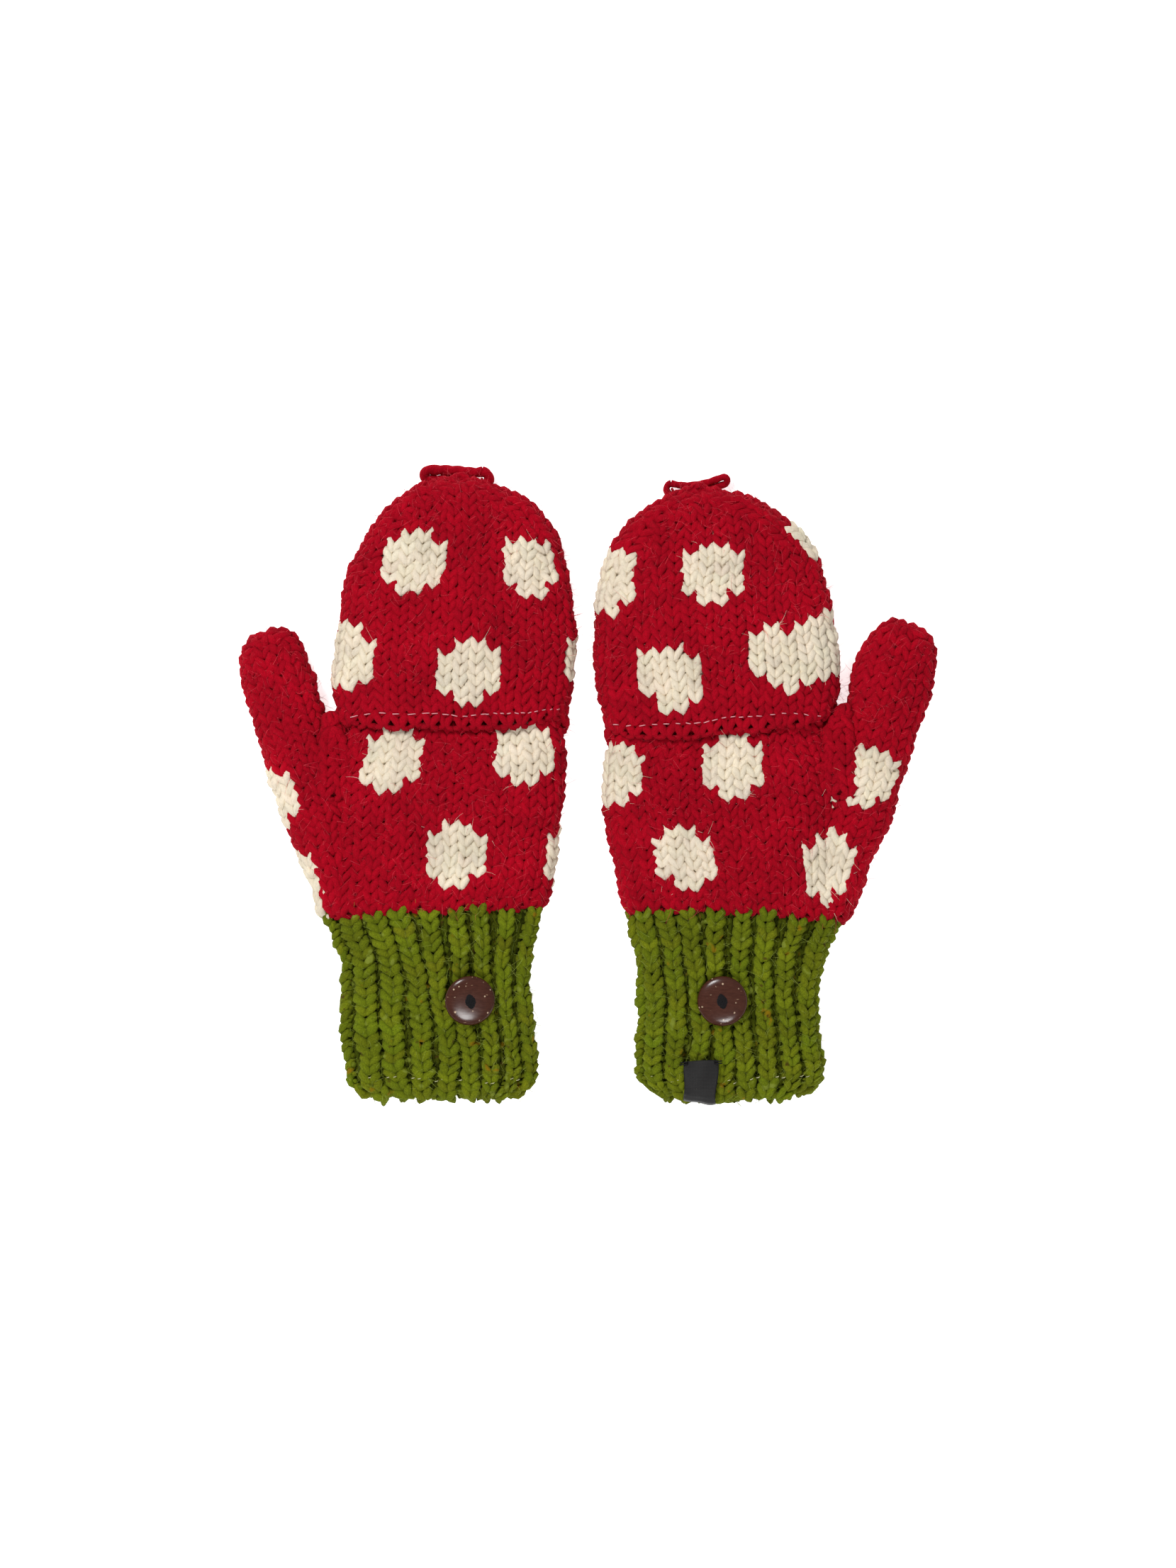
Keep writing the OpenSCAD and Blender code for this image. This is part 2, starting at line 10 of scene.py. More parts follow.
import bpy
import numpy as np
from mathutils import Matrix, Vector


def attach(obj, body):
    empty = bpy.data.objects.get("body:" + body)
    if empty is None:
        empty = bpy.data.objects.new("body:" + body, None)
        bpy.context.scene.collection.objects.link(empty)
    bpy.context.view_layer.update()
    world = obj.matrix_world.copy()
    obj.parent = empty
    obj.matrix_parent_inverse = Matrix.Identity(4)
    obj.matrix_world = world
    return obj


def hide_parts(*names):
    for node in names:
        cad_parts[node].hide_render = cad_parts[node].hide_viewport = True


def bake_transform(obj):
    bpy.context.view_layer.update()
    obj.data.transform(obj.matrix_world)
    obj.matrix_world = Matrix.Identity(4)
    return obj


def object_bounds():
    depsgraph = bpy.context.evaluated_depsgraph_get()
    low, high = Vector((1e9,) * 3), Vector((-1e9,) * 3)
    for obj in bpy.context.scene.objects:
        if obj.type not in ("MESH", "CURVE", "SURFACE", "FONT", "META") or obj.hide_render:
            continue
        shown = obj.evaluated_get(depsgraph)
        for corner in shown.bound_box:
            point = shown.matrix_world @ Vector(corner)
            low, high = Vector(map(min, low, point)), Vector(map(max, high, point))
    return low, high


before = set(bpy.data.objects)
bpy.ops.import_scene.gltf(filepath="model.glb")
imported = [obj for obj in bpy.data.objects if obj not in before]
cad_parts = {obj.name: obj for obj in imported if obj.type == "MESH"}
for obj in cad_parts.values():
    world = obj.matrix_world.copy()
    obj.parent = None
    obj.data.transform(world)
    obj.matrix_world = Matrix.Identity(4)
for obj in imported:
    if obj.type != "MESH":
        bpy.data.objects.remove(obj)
cad_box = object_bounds()

MM = 0.001
BAKE_UV = "OFBake"
random = np.random.default_rng(11)

# ---------------------------------------------------------------- the shapes, as in the model
# A row is [along, left, right, low, high]: one cross-section's place and its four outer edges.
ROWS = {
    "right_flap": [
        [4, -100.8, -5.6, 0, 28], [29.5, -101.4, -5.2, 0, 28], [44, -102, -4.2, 0, 27.8],
        [61, -99.2, -5.2, 0, 26.4], [79, -96.2, -7.6, 0, 24.4], [96, -89.5, -10.8, 0.4, 22],
        [108, -81, -18, 2, 19.4], [115, -70.5, -29, 4.4, 16.8], [118.4, -61, -40, 7.2, 13.8],
        [119.2, -54, -47, 9, 11.6]],
    "left_flap": [
        [2, 5, 98.6, 0, 28], [27, 4.4, 99.6, 0, 28], [43, 2, 100.8, 0, 27.8],
        [60, 2.4, 97.8, 0, 26.4], [76, 3.4, 94.4, 0, 24.6], [91, 8.2, 90.8, 0.4, 22.2],
        [103.5, 18, 80, 2, 19.6], [111.6, 28, 67.6, 4.4, 16.8], [115.2, 35, 55, 7.2, 13.8],
        [116.2, 41, 49, 9, 11.6]],
    "right_hand": [
        [-48.6, -104.4, -17.6, 0.2, 21.4], [-36, -103.4, -13.8, 0, 23], [-18, -102.4, -11.2, 0, 23.9],
        [-3, -101, -9.8, 1.6, 24.1], [9, -98.6, -9.2, 4.5, 23.9], [20, -95.8, -10.4, 4.9, 23.4],
        [34, -94.6, -11.6, 5.6, 23]],
    "left_hand": [
        [-49.6, 14.7, 101.4, 0.2, 21.4], [-38, 12.4, 101.2, 0, 23], [-19, 7.8, 100.8, 0, 23.9],
        [-5, 5.9, 99.4, 1.6, 24.1], [7, 5.9, 96.4, 4.5, 23.9], [18, 10.2, 93.2, 4.9, 23.4],
        [32, 10.6, 93, 5.6, 23]],
    "right_cuff": [
        [-125.6, -89.6, -26.4, 2.4, 18.2], [-120.5, -95.2, -21.2, 0.4, 20.2],
        [-107, -96.3, -20.4, 0, 20.6], [-89, -97.4, -21.8, 0, 20.4], [-72, -97.8, -21.8, 0, 20.4],
        [-60, -101.2, -19.4, 0, 20.8], [-48.8, -104.2, -17.8, 0.2, 21.2]],
    "left_cuff": [
        [-125.6, 24.4, 88.6, 2.4, 18.2], [-120.5, 20, 93, 0.4, 20.2], [-108, 19.2, 92.8, 0, 20.6],
        [-94, 20.8, 91.6, 0, 20.4], [-79, 19.8, 92.2, 0, 20.4], [-63, 18.2, 95.6, 0, 20.8],
        [-49.8, 14.9, 101.2, 0.2, 21.2]],
    "right_thumb": [
        [-36, -7.5, 9, 2.5, 18], [-20, -9.4, 12, 0.8, 20], [0, -12.2, 14, 0, 20.8],
        [20, -14.2, 14, 0, 20.6], [42, -14.8, 13.6, 0, 19.6], [58, -14.9, 12.8, 0.2, 18.6],
        [68, -12.4, 10.8, 1.4, 16.6], [73, -7.6, 6.8, 3.8, 13.6], [74.4, -3, 2.4, 6.8, 10.4]],
    "left_thumb": [
        [-37, -9, 8.6, 2.5, 18], [-20, -12, 11.8, 0.8, 20], [0, -13.6, 14, 0, 20.8],
        [20, -13, 14.2, 0, 20.6], [40, -13.4, 16, 0, 20], [56, -15.2, 16, 0.2, 19],
        [69, -13, 13.6, 1.4, 16.8], [75.4, -8, 8.6, 3.8, 13.8], [77.2, -3.4, 3.8, 6.8, 10.4]],
}
ROUNDNESS = 2.6
THUMB_ROUNDNESS = 2.2
FLAP_WALL = 4.0
GLOVE_WALL = 3.5
SLEEVE_WALL = 2.5
HINGE_Z = 28.0
LIP_OVERLAP = 20.0
MOUTH_DEPTH = 9.0
HEM_W = 5.6

SIDES = {
    "right": {
        "thumb_at": (-108, -12), "thumb_lean": 14.5, "hinge_at": (-53, 29.2), "hinge_slant": 1.5,
        "sleeves": [[-93.6, -73.4, 71, 2.6, 1.2], [-73, -51.2, 76, 1, 0], [-50.8, -30, 73, -0.8, 0],
                    [-29.6, -12.4, 64, -2.2, 1.2]],
        "loop_at": (-42.2, 121.4, 3.2), "loop_way": 176, "loop_cord": 4.3, "loop_into": (-4, -8),
        "loop_line": [(0, 2.85, -0.1), (1.8, 2.3, 0.2), (3.8, 1.85, 0.6), (13, 1.85, 0.9), (20, 2.05, 0.9)],
        "loop_bow": 0.6,
        "button_at": (-46.7, -84.4, 22.2), "button_tilt": (9, 7),
        "flap_spots": [[87.4, -18.5], [86, 27.5], [49, -45.5], [45.4, 3.9], [50.1, 56]],
        "hand_spots": [[10, -23.5], [11.5, 28.6], [-29.7, 4.6], [-29.4, 54]],
        "thumb_spots": [[11.5, -17], [-23, -14]],
        "lining_stitches": [i * 9.4 for i in range(-3, 4)],
        "seam": [(-40, -14, 5.4, 2.8), (-13, 12, 4.0, 2.6), (13, 45, 2.7, 1.4)],
        "web": [[-4, -110, -92, 9, 21.6], [10, -108, -93, 10.5, 21.4], [18, -106.5, -94, 12, 20.6],
                [24.5, -104.3, -98.5, 14, 18.6], [26.2, -103, -100.2, 15, 18]],
        "rib_widen": 0.15, "rib_sweep": 0.15, "rib_first": 0.25,
    },
    "left": {
        "thumb_at": (105, -12), "thumb_lean": -16, "hinge_at": (52, 27), "hinge_slant": 3.4,
        "sleeves": [[72, 92.2, 69, -2.8, 1.2], [50, 71.6, 74, -1.2, 0], [29, 49.6, 71, 0.6, 0],
                    [11.6, 28.6, 62, 2, 1.2]],
        "loop_at": (33.4, 117.4, 3.2), "loop_way": 9, "loop_cord": 2.9, "loop_into": (4, -7),
        "loop_line": [(0, 2.2, 0.1), (3, 1.5, 0.3), (6, 1.25, 0.5), (14, 1.2, 0.8), (20, 1.45, 0.8)],
        "loop_bow": -1.1,
        "button_at": (53.1, -86.5, 22.2), "button_tilt": (2, -3),
        "flap_spots": [[84.3, 0.5], [81.2, -45], [94, 50], [42.8, -21], [49, 26], [55.2, 45]],
        "hand_spots": [[3.6, -45], [7.6, 7.6], [-31.4, -19], [-32.5, 43]],
        "thumb_spots": [[16, 1.5], [-21, -3.5]],
        "lining_stitches": [-29, -21.2, 0.6, 9.4, 18.8, 28.2],
        "seam": [(-45, -20, 4.6, 2.0), (-18, 18, 3.6, 2.2), (20, 40, 4.4, 1.8)],
        "web": [[-4, 90, 108, 9, 21.6], [12, 91, 107.5, 10.5, 21.4], [22, 92.5, 106.5, 12, 20.6],
                [28, 98, 104.5, 14, 18.8], [29.6, 99.6, 103, 15, 18]],
        "rib_widen": 0.03, "rib_sweep": 0.12, "rib_first": 0.1,
    },
}
SLEEVE_NAMES = ["index", "middle", "ring", "little"]

# ---------------------------------------------------------------- colours, in linear light
RED = (0.385, 0.0012, 0.0115)
CREAM = (0.81, 0.71, 0.555)
OLIVE = (0.135, 0.165, 0.0055)
# Loose red and olive fibres are painted about twice as light as their yarn: a painted highlight for fibres
# that catch the light.
RED_HAIR_PAINTED_SHEEN = (0.7, 0.06, 0.085)
OLIVE_HAIR_PAINTED_SHEEN = (0.3, 0.36, 0.07)
PINK = (0.85, 0.36, 0.4)
BLACK = (0.012, 0.011, 0.012)
PALE = (0.62, 0.6, 0.36)

# ---------------------------------------------------------------- the knitting
STITCH_W = 6.5
STITCH_H = 4.15
YARN_R = 1.42
LOOP_POINTS = 14
LOOP_SIDES = 7
FLAT_COLUMNS = 8  # columns from the middle of the back to the side, on the hand and the flap
THUMB_COLUMNS = 3
SPOT_REACH = 4.4
ROPE_STEP = 0.9
RED_SPREAD = 0.05
CREAM_SPREAD = 0.025
UP = np.array([0.0, 0.0, 1.0])


def unit(v):
    return v / np.maximum(np.linalg.norm(v, axis=-1, keepdims=True), 1e-9)


def value_at(rule, f):
    """A rule is a number, or a function of f."""
    return rule(f) if callable(rule) else rule


def always(direction, count):
    return np.tile(direction, (count, 1))


def wander(p):
    """Where a knitted point ends up after handling: rows and columns wave a little, the cuff's edge
    hangs lower in its middle, and the cuff's top dips towards the thumb."""
    x, y, z = p[..., 0], p[..., 1], p[..., 2]
    across = 0.5 * np.sin(0.1 * y + 0.06 * x + 0.1 * z) + 0.3 * np.sin(0.31 * y - 0.17 * x + 1.3)
    along = 0.7 * np.sin(0.085 * x + 0.05 * y + 0.7) + 0.35 * np.sin(0.27 * x - 0.11 * y + 2.1)
    lift = 0.35 * np.clip(z / 20, 0, 1) * np.sin(0.16 * x + 0.2 * y)
    from_middle = np.clip(np.abs(np.abs(x) - 57.5) / 37, 0, 1)
    along = along + (1.8 + 3.4 * from_middle**2) * np.exp(-np.abs(y + 125.6) / 12)
    along = along - 4.0 * np.clip((np.abs(x) - 74) / 26, 0, 1) * np.exp(-((y + 49) / 16) ** 2)
    return p + np.stack([across, along, lift], -1)


def catmull(rows, t):
    """The smooth curve through the rows, at t rows from the first."""
    rows = np.asarray(rows, float)
    last = len(rows) - 1
    i = np.clip(np.floor(t).astype(int), 0, last - 1)
    p, q, r, s = rows[np.maximum(i - 1, 0)], rows[i], rows[i + 1], rows[np.minimum(i + 2, last)]
    u = (t - i)[:, None]
    out = 0.5 * (2 * q + (r - p) * u + (2 * p - 5 * q + 4 * r - s) * u**2
                 + (3 * q - p - 3 * r + s) * u**3)
    out[:, 3] = np.maximum(out[:, 3], 0)
    return out


class Tube:
    """The middle surface of a knitted tube. A place on it is (t, f): t counts fine steps along it,
    and f goes round it, 0 at the middle of the back, 1 and -1 at its sides, 2 and -2 at the palm."""

    STEPS = 16
    QUARTER = 24

    def __init__(self, rows, inset, exponent, at=(0, 0), lean=0.0):
        self.exponent, self.at, self.lean = exponent, at, math.radians(lean)
        count = (len(rows) - 1) * self.STEPS + 1
        self.rings = catmull(rows, np.linspace(0, len(rows) - 1, count))
        self.half = np.maximum((self.rings[:, [2, 4]] - self.rings[:, [1, 3]]) / 2 - inset, 0.4)
        self.middle = (self.rings[:, [2, 4]] + self.rings[:, [1, 3]]) / 2
        turn = np.linspace(0, math.pi / 2, 241)
        across = np.sin(turn) ** (2 / exponent)
        up = np.maximum(np.cos(turn), 0) ** (2 / exponent)
        share = np.linspace(0, 1, self.QUARTER + 1)
        self.quarter = np.zeros(count)
        points = np.zeros((count, 4 * self.QUARTER + 1, 3))
        f = np.linspace(-2, 2, 4 * self.QUARTER + 1)
        near = 1 - np.abs(1 - np.abs(f))
        for i in range(count):
            x, z = self.half[i, 0] * across, self.half[i, 1] * up
            length = np.concatenate([[0], np.cumsum(np.hypot(np.diff(x), np.diff(z)))])
            self.quarter[i] = length[-1]
            xs, zs = np.interp(share * length[-1], length, x), np.interp(share * length[-1], length, z)
            points[i, :, 0] = self.middle[i, 0] + np.sign(f) * np.interp(near, share, xs)
            points[i, :, 2] = self.middle[i, 1] + np.where(np.abs(f) <= 1, 1, -1) * np.interp(near, share, zs)
            points[i, :, 1] = self.rings[i, 0]
        self.points = self.turned(points) + np.array([*at, 0.0])
        along = np.gradient(self.points, axis=0)
        round_it = np.gradient(self.points, axis=1)
        self.normals = unit(np.cross(round_it, along))
        self.count = count

    def turned(self, p, back=False):
        c, s = math.cos(self.lean), math.sin(self.lean) * (-1 if back else 1)
        return np.stack([p[..., 0] * c - p[..., 1] * s, p[..., 0] * s + p[..., 1] * c, p[..., 2]], -1)

    def place(self, t, f):
        """Points and normals at arrays of t and f."""
        t = np.clip(t, 0, self.count - 1.001)
        u = np.clip((np.asarray(f) + 2) / 4, 0, 0.99999) * 4 * self.QUARTER
        i, j = t.astype(int), u.astype(int)
        a, b = (t - i)[..., None], (u - j)[..., None]

        def mix(g):
            return ((1 - a) * ((1 - b) * g[i, j] + b * g[i, j + 1])
                    + a * ((1 - b) * g[i + 1, j] + b * g[i + 1, j + 1]))

        return mix(self.points), unit(mix(self.normals))

    def width_at(self, t):
        return np.interp(t, np.arange(self.count), self.quarter)

    def depth(self, p):
        """Below 1 inside the tube and above 1 outside it."""
        q = self.turned(p - np.array([*self.at, 0.0]), back=True)
        ys = self.rings[:, 0]
        t = np.interp(q[..., 1], ys, np.arange(self.count))
        k = np.arange(self.count)
        a, b = np.interp(t, k, self.half[:, 0]), np.interp(t, k, self.half[:, 1])
        cx, cz = np.interp(t, k, self.middle[:, 0]), np.interp(t, k, self.middle[:, 1])
        inside = (np.abs(q[..., 0] - cx) / a) ** self.exponent + (np.abs(q[..., 2] - cz) / b) ** self.exponent
        off = np.maximum(ys[0] - q[..., 1], q[..., 1] - ys[-1])
        return np.where(off > 0, 2.0, inside)

    def local_y(self, p):
        return self.turned(p - np.array([*self.at, 0.0]), back=True)[..., 1]


class Path:
    """A column's line on a tube, with its side and outward directions, by distance along it."""

    def __init__(self, tube, t, f):
        self.p, normal = tube.place(t, f)
        self.t, self.f = t, f
        self.ahead = unit(np.gradient(self.p, axis=0))
        self.side = unit(np.cross(self.ahead, normal))
        self.out = np.cross(self.side, self.ahead)
        self.measure()

    def measure(self):
        self.far = np.concatenate([[0], np.cumsum(np.linalg.norm(np.diff(self.p, axis=0), axis=1))])

    def length(self):
        return self.far[-1]

    def at(self, far, grid):
        return np.stack([np.interp(far, self.far, grid[:, k]) for k in range(3)], -1)

    def lay(self, local, far):
        """World places of local points (across, along, out), from a distance along the path."""
        reach = local[..., 1] + far
        past = reach - np.clip(reach, 0, self.far[-1])
        return (self.at(reach, self.p) + self.at(reach, self.ahead) * past[..., None]
                + unit(self.at(reach, self.side)) * local[..., 0:1]
                + unit(self.at(reach, self.out)) * local[..., 2:3])


def ring_tube(points, outs, radius, sides, turn=0.0, plies=0, lobe=0.0):
    """Rings round a line of points. With plies, the section has that many lobes."""
    ahead = unit(np.gradient(points, axis=0))
    side = unit(np.cross(ahead, outs))
    up = np.cross(side, ahead)
    angle = np.linspace(0, 2 * math.pi, sides, endpoint=False)[None, :]
    turn = np.broadcast_to(np.asarray(turn, float), (len(points),))[:, None]
    r = np.broadcast_to(np.asarray(radius, float), (len(points),))[:, None]
    if plies:
        r = r * (1 - lobe + lobe * np.abs(np.cos(plies / 2 * (angle - turn))) ** 0.8)
    rings = (points[:, None, :] + (r * np.cos(angle))[..., None] * side[:, None, :]
             + (r * np.sin(angle))[..., None] * up[:, None, :])
    return rings, angle


def loop_template(w, h, lean=0.27, depth=0.75, radius=YARN_R, points=LOOP_POINTS, sides=LOOP_SIDES):
    """One loop of yarn, from the bottom on one side over its head to the bottom on the other."""
    t = np.linspace(-math.pi, math.pi, points)
    line = np.stack([w * t / (2 * math.pi) + lean * w * np.sin(2 * t), h * np.cos(t),
                     -depth * np.cos(2 * t)], -1)
    swell = radius * (1 - 0.17 * np.cos(2 * t))
    rings, angle = ring_tube(line, np.array([[0.0, 0.0, 1.0]]), swell, sides)
    far = np.concatenate([[0], np.cumsum(np.linalg.norm(np.diff(line, axis=0), axis=1))])
    twist = angle + far[:, None] * 0.55
    fibre = np.stack([np.cos(twist), np.sin(twist), np.broadcast_to(far[:, None] * 0.28, twist.shape)], -1)
    return rings.reshape(-1, 3), fibre.reshape(-1, 3), tube_faces(points, sides)


def tube_faces(points, sides):
    """Quads along a tube, and a face to close each end."""
    k = np.arange(sides)
    quads = []
    for i in range(points - 1):
        a, b = i * sides + k, i * sides + (k + 1) % sides
        quads.append(np.stack([a, b, b + sides, a + sides], -1))
    return np.concatenate(quads), [k[::-1], (points - 1) * sides + k]


class Yarn:
    """Collects the vertices, faces, colours and fibre directions of one piece."""

    def __init__(self):
        self.co, self.fibre, self.colour, self.uv, self.faces = [], [], [], [], []
        self.total = 0
        self.outer = []

    def add(self, co, fibre, colour, uv, quads, caps):
        """Adds one shape, whose colour is one for all its vertices or one for each."""
        self.add_many(co[None], fibre, np.broadcast_to(colour, co.shape), uv, quads, caps)

    def add_many(self, co, fibre, colour, uv, quads, caps):
        """co is (pieces, vertices, 3): copies of one shape. There is a colour for each piece or vertex."""
        m, n = co.shape[:2]
        shift = (self.total + np.arange(m) * n)[:, None, None]
        self.faces.append(((quads[None] + shift).reshape(-1, quads.shape[1]),
                           [row for cap in caps for row in cap[None, :] + shift[:, 0]]))
        self.co.append(co.reshape(-1, 3))
        self.fibre.append(fibre.reshape(-1, 3))
        self.colour.append(np.repeat(colour, m * n // len(colour), axis=0))
        self.uv.append(uv.reshape(-1, 2))
        self.total += m * n

    def build(self, name, material, stiff=False, still=False):
        """Makes the mesh. A stiff piece is carried along by the knitting round it, but keeps its shape.
        A still piece stays where its joint is."""
        co = np.concatenate(self.co)
        middle = co.mean(axis=0)
        if not still:
            co = co + wander(middle) - middle if stiff else wander(co)
        co[:, 2] = np.maximum(co[:, 2], 0.02)
        co = co * MM
        loops, starts, at = [], [], 0
        for quads, caps in self.faces:
            loops.append(quads.ravel())
            starts.append(at + np.arange(len(quads)) * quads.shape[1])
            at += quads.size
            for cap in caps:
                loops.append(cap)
                starts.append(np.array([at]))
                at += len(cap)
        loops, starts = np.concatenate(loops), np.concatenate(starts)
        mesh = bpy.data.meshes.new(name)
        mesh.vertices.add(len(co))
        mesh.vertices.foreach_set("co", co.astype(np.float32).ravel())
        mesh.loops.add(len(loops))
        mesh.loops.foreach_set("vertex_index", loops.astype(np.int32))
        mesh.polygons.add(len(starts))
        mesh.polygons.foreach_set("loop_start", starts.astype(np.int32))
        mesh.update(calc_edges=True)
        mesh.polygons.foreach_set("use_smooth", np.ones(len(starts), bool))
        uv = np.concatenate(self.uv).astype(np.float32)
        low, high = uv.min(axis=0), uv.max(axis=0)
        uv = 0.01 + 0.98 * (uv - low) / np.maximum(high - low, 1e-6)
        mesh.uv_layers.new(name=BAKE_UV).data.foreach_set("uv", uv[loops].ravel())
        fibre = np.concatenate(self.fibre).astype(np.float32)
        mesh.attributes.new("fibre", "FLOAT_VECTOR", "POINT").data.foreach_set("vector", fibre.ravel())
        colour = np.concatenate(self.colour).astype(np.float32)
        colour = np.concatenate([colour, np.ones((len(colour), 1), np.float32)], axis=1)
        mesh.attributes.new("wool", "FLOAT_COLOR", "POINT").data.foreach_set("color", colour.ravel())
        mesh.materials.append(material)
        mesh.validate()
        piece = bpy.data.objects.new(name, mesh)
        bpy.context.scene.collection.objects.link(piece)
        return piece


def tinted(base, spread, count):
    """count shades near a colour."""
    shade = 1 + spread * random.normal(size=(count, 1)).clip(-2, 2)
    hue = 1 + 0.35 * spread * random.normal(size=(count, 3)).clip(-2, 2)
    return np.asarray(base)[None, :] * shade * hue


class Knit:
    """The loops of one knitted tube, kept as columns until they are coloured and built."""

    def __init__(self, tube, template):
        self.tube, self.template = tube, template
        self.loops = []

    def column(self, number, path, first, last, pitch, sway=0.0, wide=1.0):
        """Loops along a path, between two distances."""
        room = last - first
        count = int(round(room / pitch))
        if count < 1:
            return
        step = room / count if room / count < 1.25 * pitch else pitch
        for row in range(count):
            far = first + (row + 0.5) * step + sway
            self.loops.append([number, row, path, far, step / pitch, "base", wide])

    def centres(self):
        return np.array([loop[2].lay(np.zeros((1, 3)), loop[3])[0] for loop in self.loops])

    def keep(self, wanted):
        self.loops = [loop for loop, yes in zip(self.loops, wanted) if yes]

    def spot(self, along, arc, per_quarter, width=4, rows=6):
        """Marks the loops of one round spot, whose middle is arc round from the middle of the back."""
        tube = self.tube
        t = np.interp(along, tube.rings[:, 0], np.arange(tube.count))
        middle = round(arc / (tube.width_at(t) + 2) * per_quarter)
        ys = tube.local_y(self.centres())
        for dc in range(-width // 2, width // 2):
            mine = [i for i, loop in enumerate(self.loops) if loop[0] == middle + dc]
            if not mine:
                continue
            row = self.loops[min(mine, key=lambda i: abs(ys[i] - along - STITCH_H / 2))][1]
            outer_column = dc in (-width // 2, width // 2 - 1)
            for i in mine:
                dr = self.loops[i][1] - row
                if -rows // 2 <= dr < rows // 2 and not (outer_column and dr in (-rows // 2, rows // 2 - 1)):
                    self.loops[i][5] = "spot"

    def build(self, yarn, kind, base, spread, jitter=1.0, total=68, long=200.0):
        """Adds the loops of one kind to a piece."""
        local, fibre, (quads, caps) = self.template
        loops = [loop for loop in self.loops if loop[5] == kind]
        if not loops:
            return
        n, k = len(loops), len(local)
        turn = random.normal(size=n).clip(-2, 2) * 0.06 * jitter
        grow = 1 + random.normal(size=(n, 3)).clip(-2, 2) * np.array([0.04, 0.035, 0.12]) * jitter
        shift = random.normal(size=(n, 3)).clip(-2, 2) * np.array([0.2, 0.2, 0.17]) * jitter
        lean = random.normal(size=(n, 1)).clip(-2, 2) * 0.07 * jitter
        columns = np.array([loop[0] for loop in loops])
        lean = lean + 0.07 * jitter * np.sin(columns * 1.7 + 0.6)[:, None]
        co = np.zeros((n, k, 3))
        uv = np.zeros((n, k, 2))
        for i, (number, _, path, far, stretch, _, wide) in enumerate(loops):
            p = local * grow[i]
            p[:, 0] *= wide
            p[:, 1] *= stretch
            p[:, 0] += lean[i] * p[:, 1]
            c, s = math.cos(turn[i]), math.sin(turn[i])
            p = np.stack([p[:, 0] * c - p[:, 1] * s, p[:, 0] * s + p[:, 1] * c, p[:, 2]], -1) + shift[i]
            co[i] = path.lay(p, far)
            uv[i, :, 0] = (number + 0.5 + p[:, 0] / STITCH_W) / total
            uv[i, :, 1] = (far + p[:, 1]) / long
        fibres = fibre[None] + np.stack([np.zeros(n), np.zeros(n), random.uniform(0, 50, n)], -1)[:, None]
        yarn.add_many(co, fibres, tinted(base, spread, n), uv, quads, caps)
        yarn.outer.append((co, local))


def shell(outer, inner, whole=False):
    """Vertices and faces of a thin closed solid between two grids of points. A whole one closes on
    itself across."""
    rows, cols = outer.shape[:2]
    index = np.arange(rows * cols).reshape(rows, cols)
    faces = []

    def strip(a, b):
        faces.append(np.stack([a[:-1], a[1:], b[1:], b[:-1]], -1).reshape(-1, 4))

    grid = np.concatenate([index, index[:, :1]], axis=1) if whole else index
    for i in range(rows - 1):
        strip(grid[i], grid[i + 1])
        strip(grid[i + 1] + rows * cols, grid[i] + rows * cols)
    strip(grid[0] + rows * cols, grid[0])
    strip(grid[-1], grid[-1] + rows * cols)
    if not whole:
        strip(index[:, 0], index[:, 0] + rows * cols)
        strip(index[:, -1] + rows * cols, index[:, -1])
    return np.concatenate([outer.reshape(-1, 3), inner.reshape(-1, 3)]), np.concatenate(faces)


def backing(yarn, tube, first, last, colour, f_range=(-2.0, 2.0), deep=(0.2, 1.1), steps=None, across=96,
            loops=None):
    """A thin closed layer just behind the loops: it stands for the yarn that crosses inside the wall, and is
    darkened as painted shade.
    first and last give t, and may depend on f."""
    whole = f_range[1] - f_range[0] >= 4
    f = np.linspace(*f_range, across + 1)[: across if whole else across + 1]
    start, end = (np.broadcast_to(value_at(rule, f), f.shape) for rule in (first, last))
    steps = steps or max(int(np.max(end - start) / 3), 3)
    t = start[None, :] + (end - start)[None, :] * np.linspace(0, 1, steps + 1)[:, None]
    p, normal = tube.place(t, np.broadcast_to(f, t.shape))
    co, quads = shell(p - normal * deep[0], p - normal * deep[1], whole)
    uv = np.stack([np.broadcast_to(f / 4 + 0.5, t.shape), t / tube.count], -1).reshape(-1, 2)
    uv = np.concatenate([uv, uv])
    # Painted shade: the layer is coloured at 0.3 of the yarn's colour, to stand for the shade in the gaps
    # between the loops.
    shade = np.broadcast_to(np.asarray(colour) * 0.3, co.shape)
    if loops is not None and loops.loops:
        centres = loops.centres()
        spot = np.array([loop[5] == "spot" for loop in loops.loops])
        if spot.any():
            apart = ((co[:, None, :] - centres[None, :, :]) ** 2).sum(-1)
            cream = spot[np.argmin(apart, axis=1)] & (apart.min(axis=1) < SPOT_REACH**2)
            # Behind cream spots the painted shade is cream at 0.6, instead of dark red.
            shade = np.where(cream[:, None], np.asarray(CREAM) * 0.6, shade)
    yarn.add(co, co * 0.35, shade, uv, quads, [])


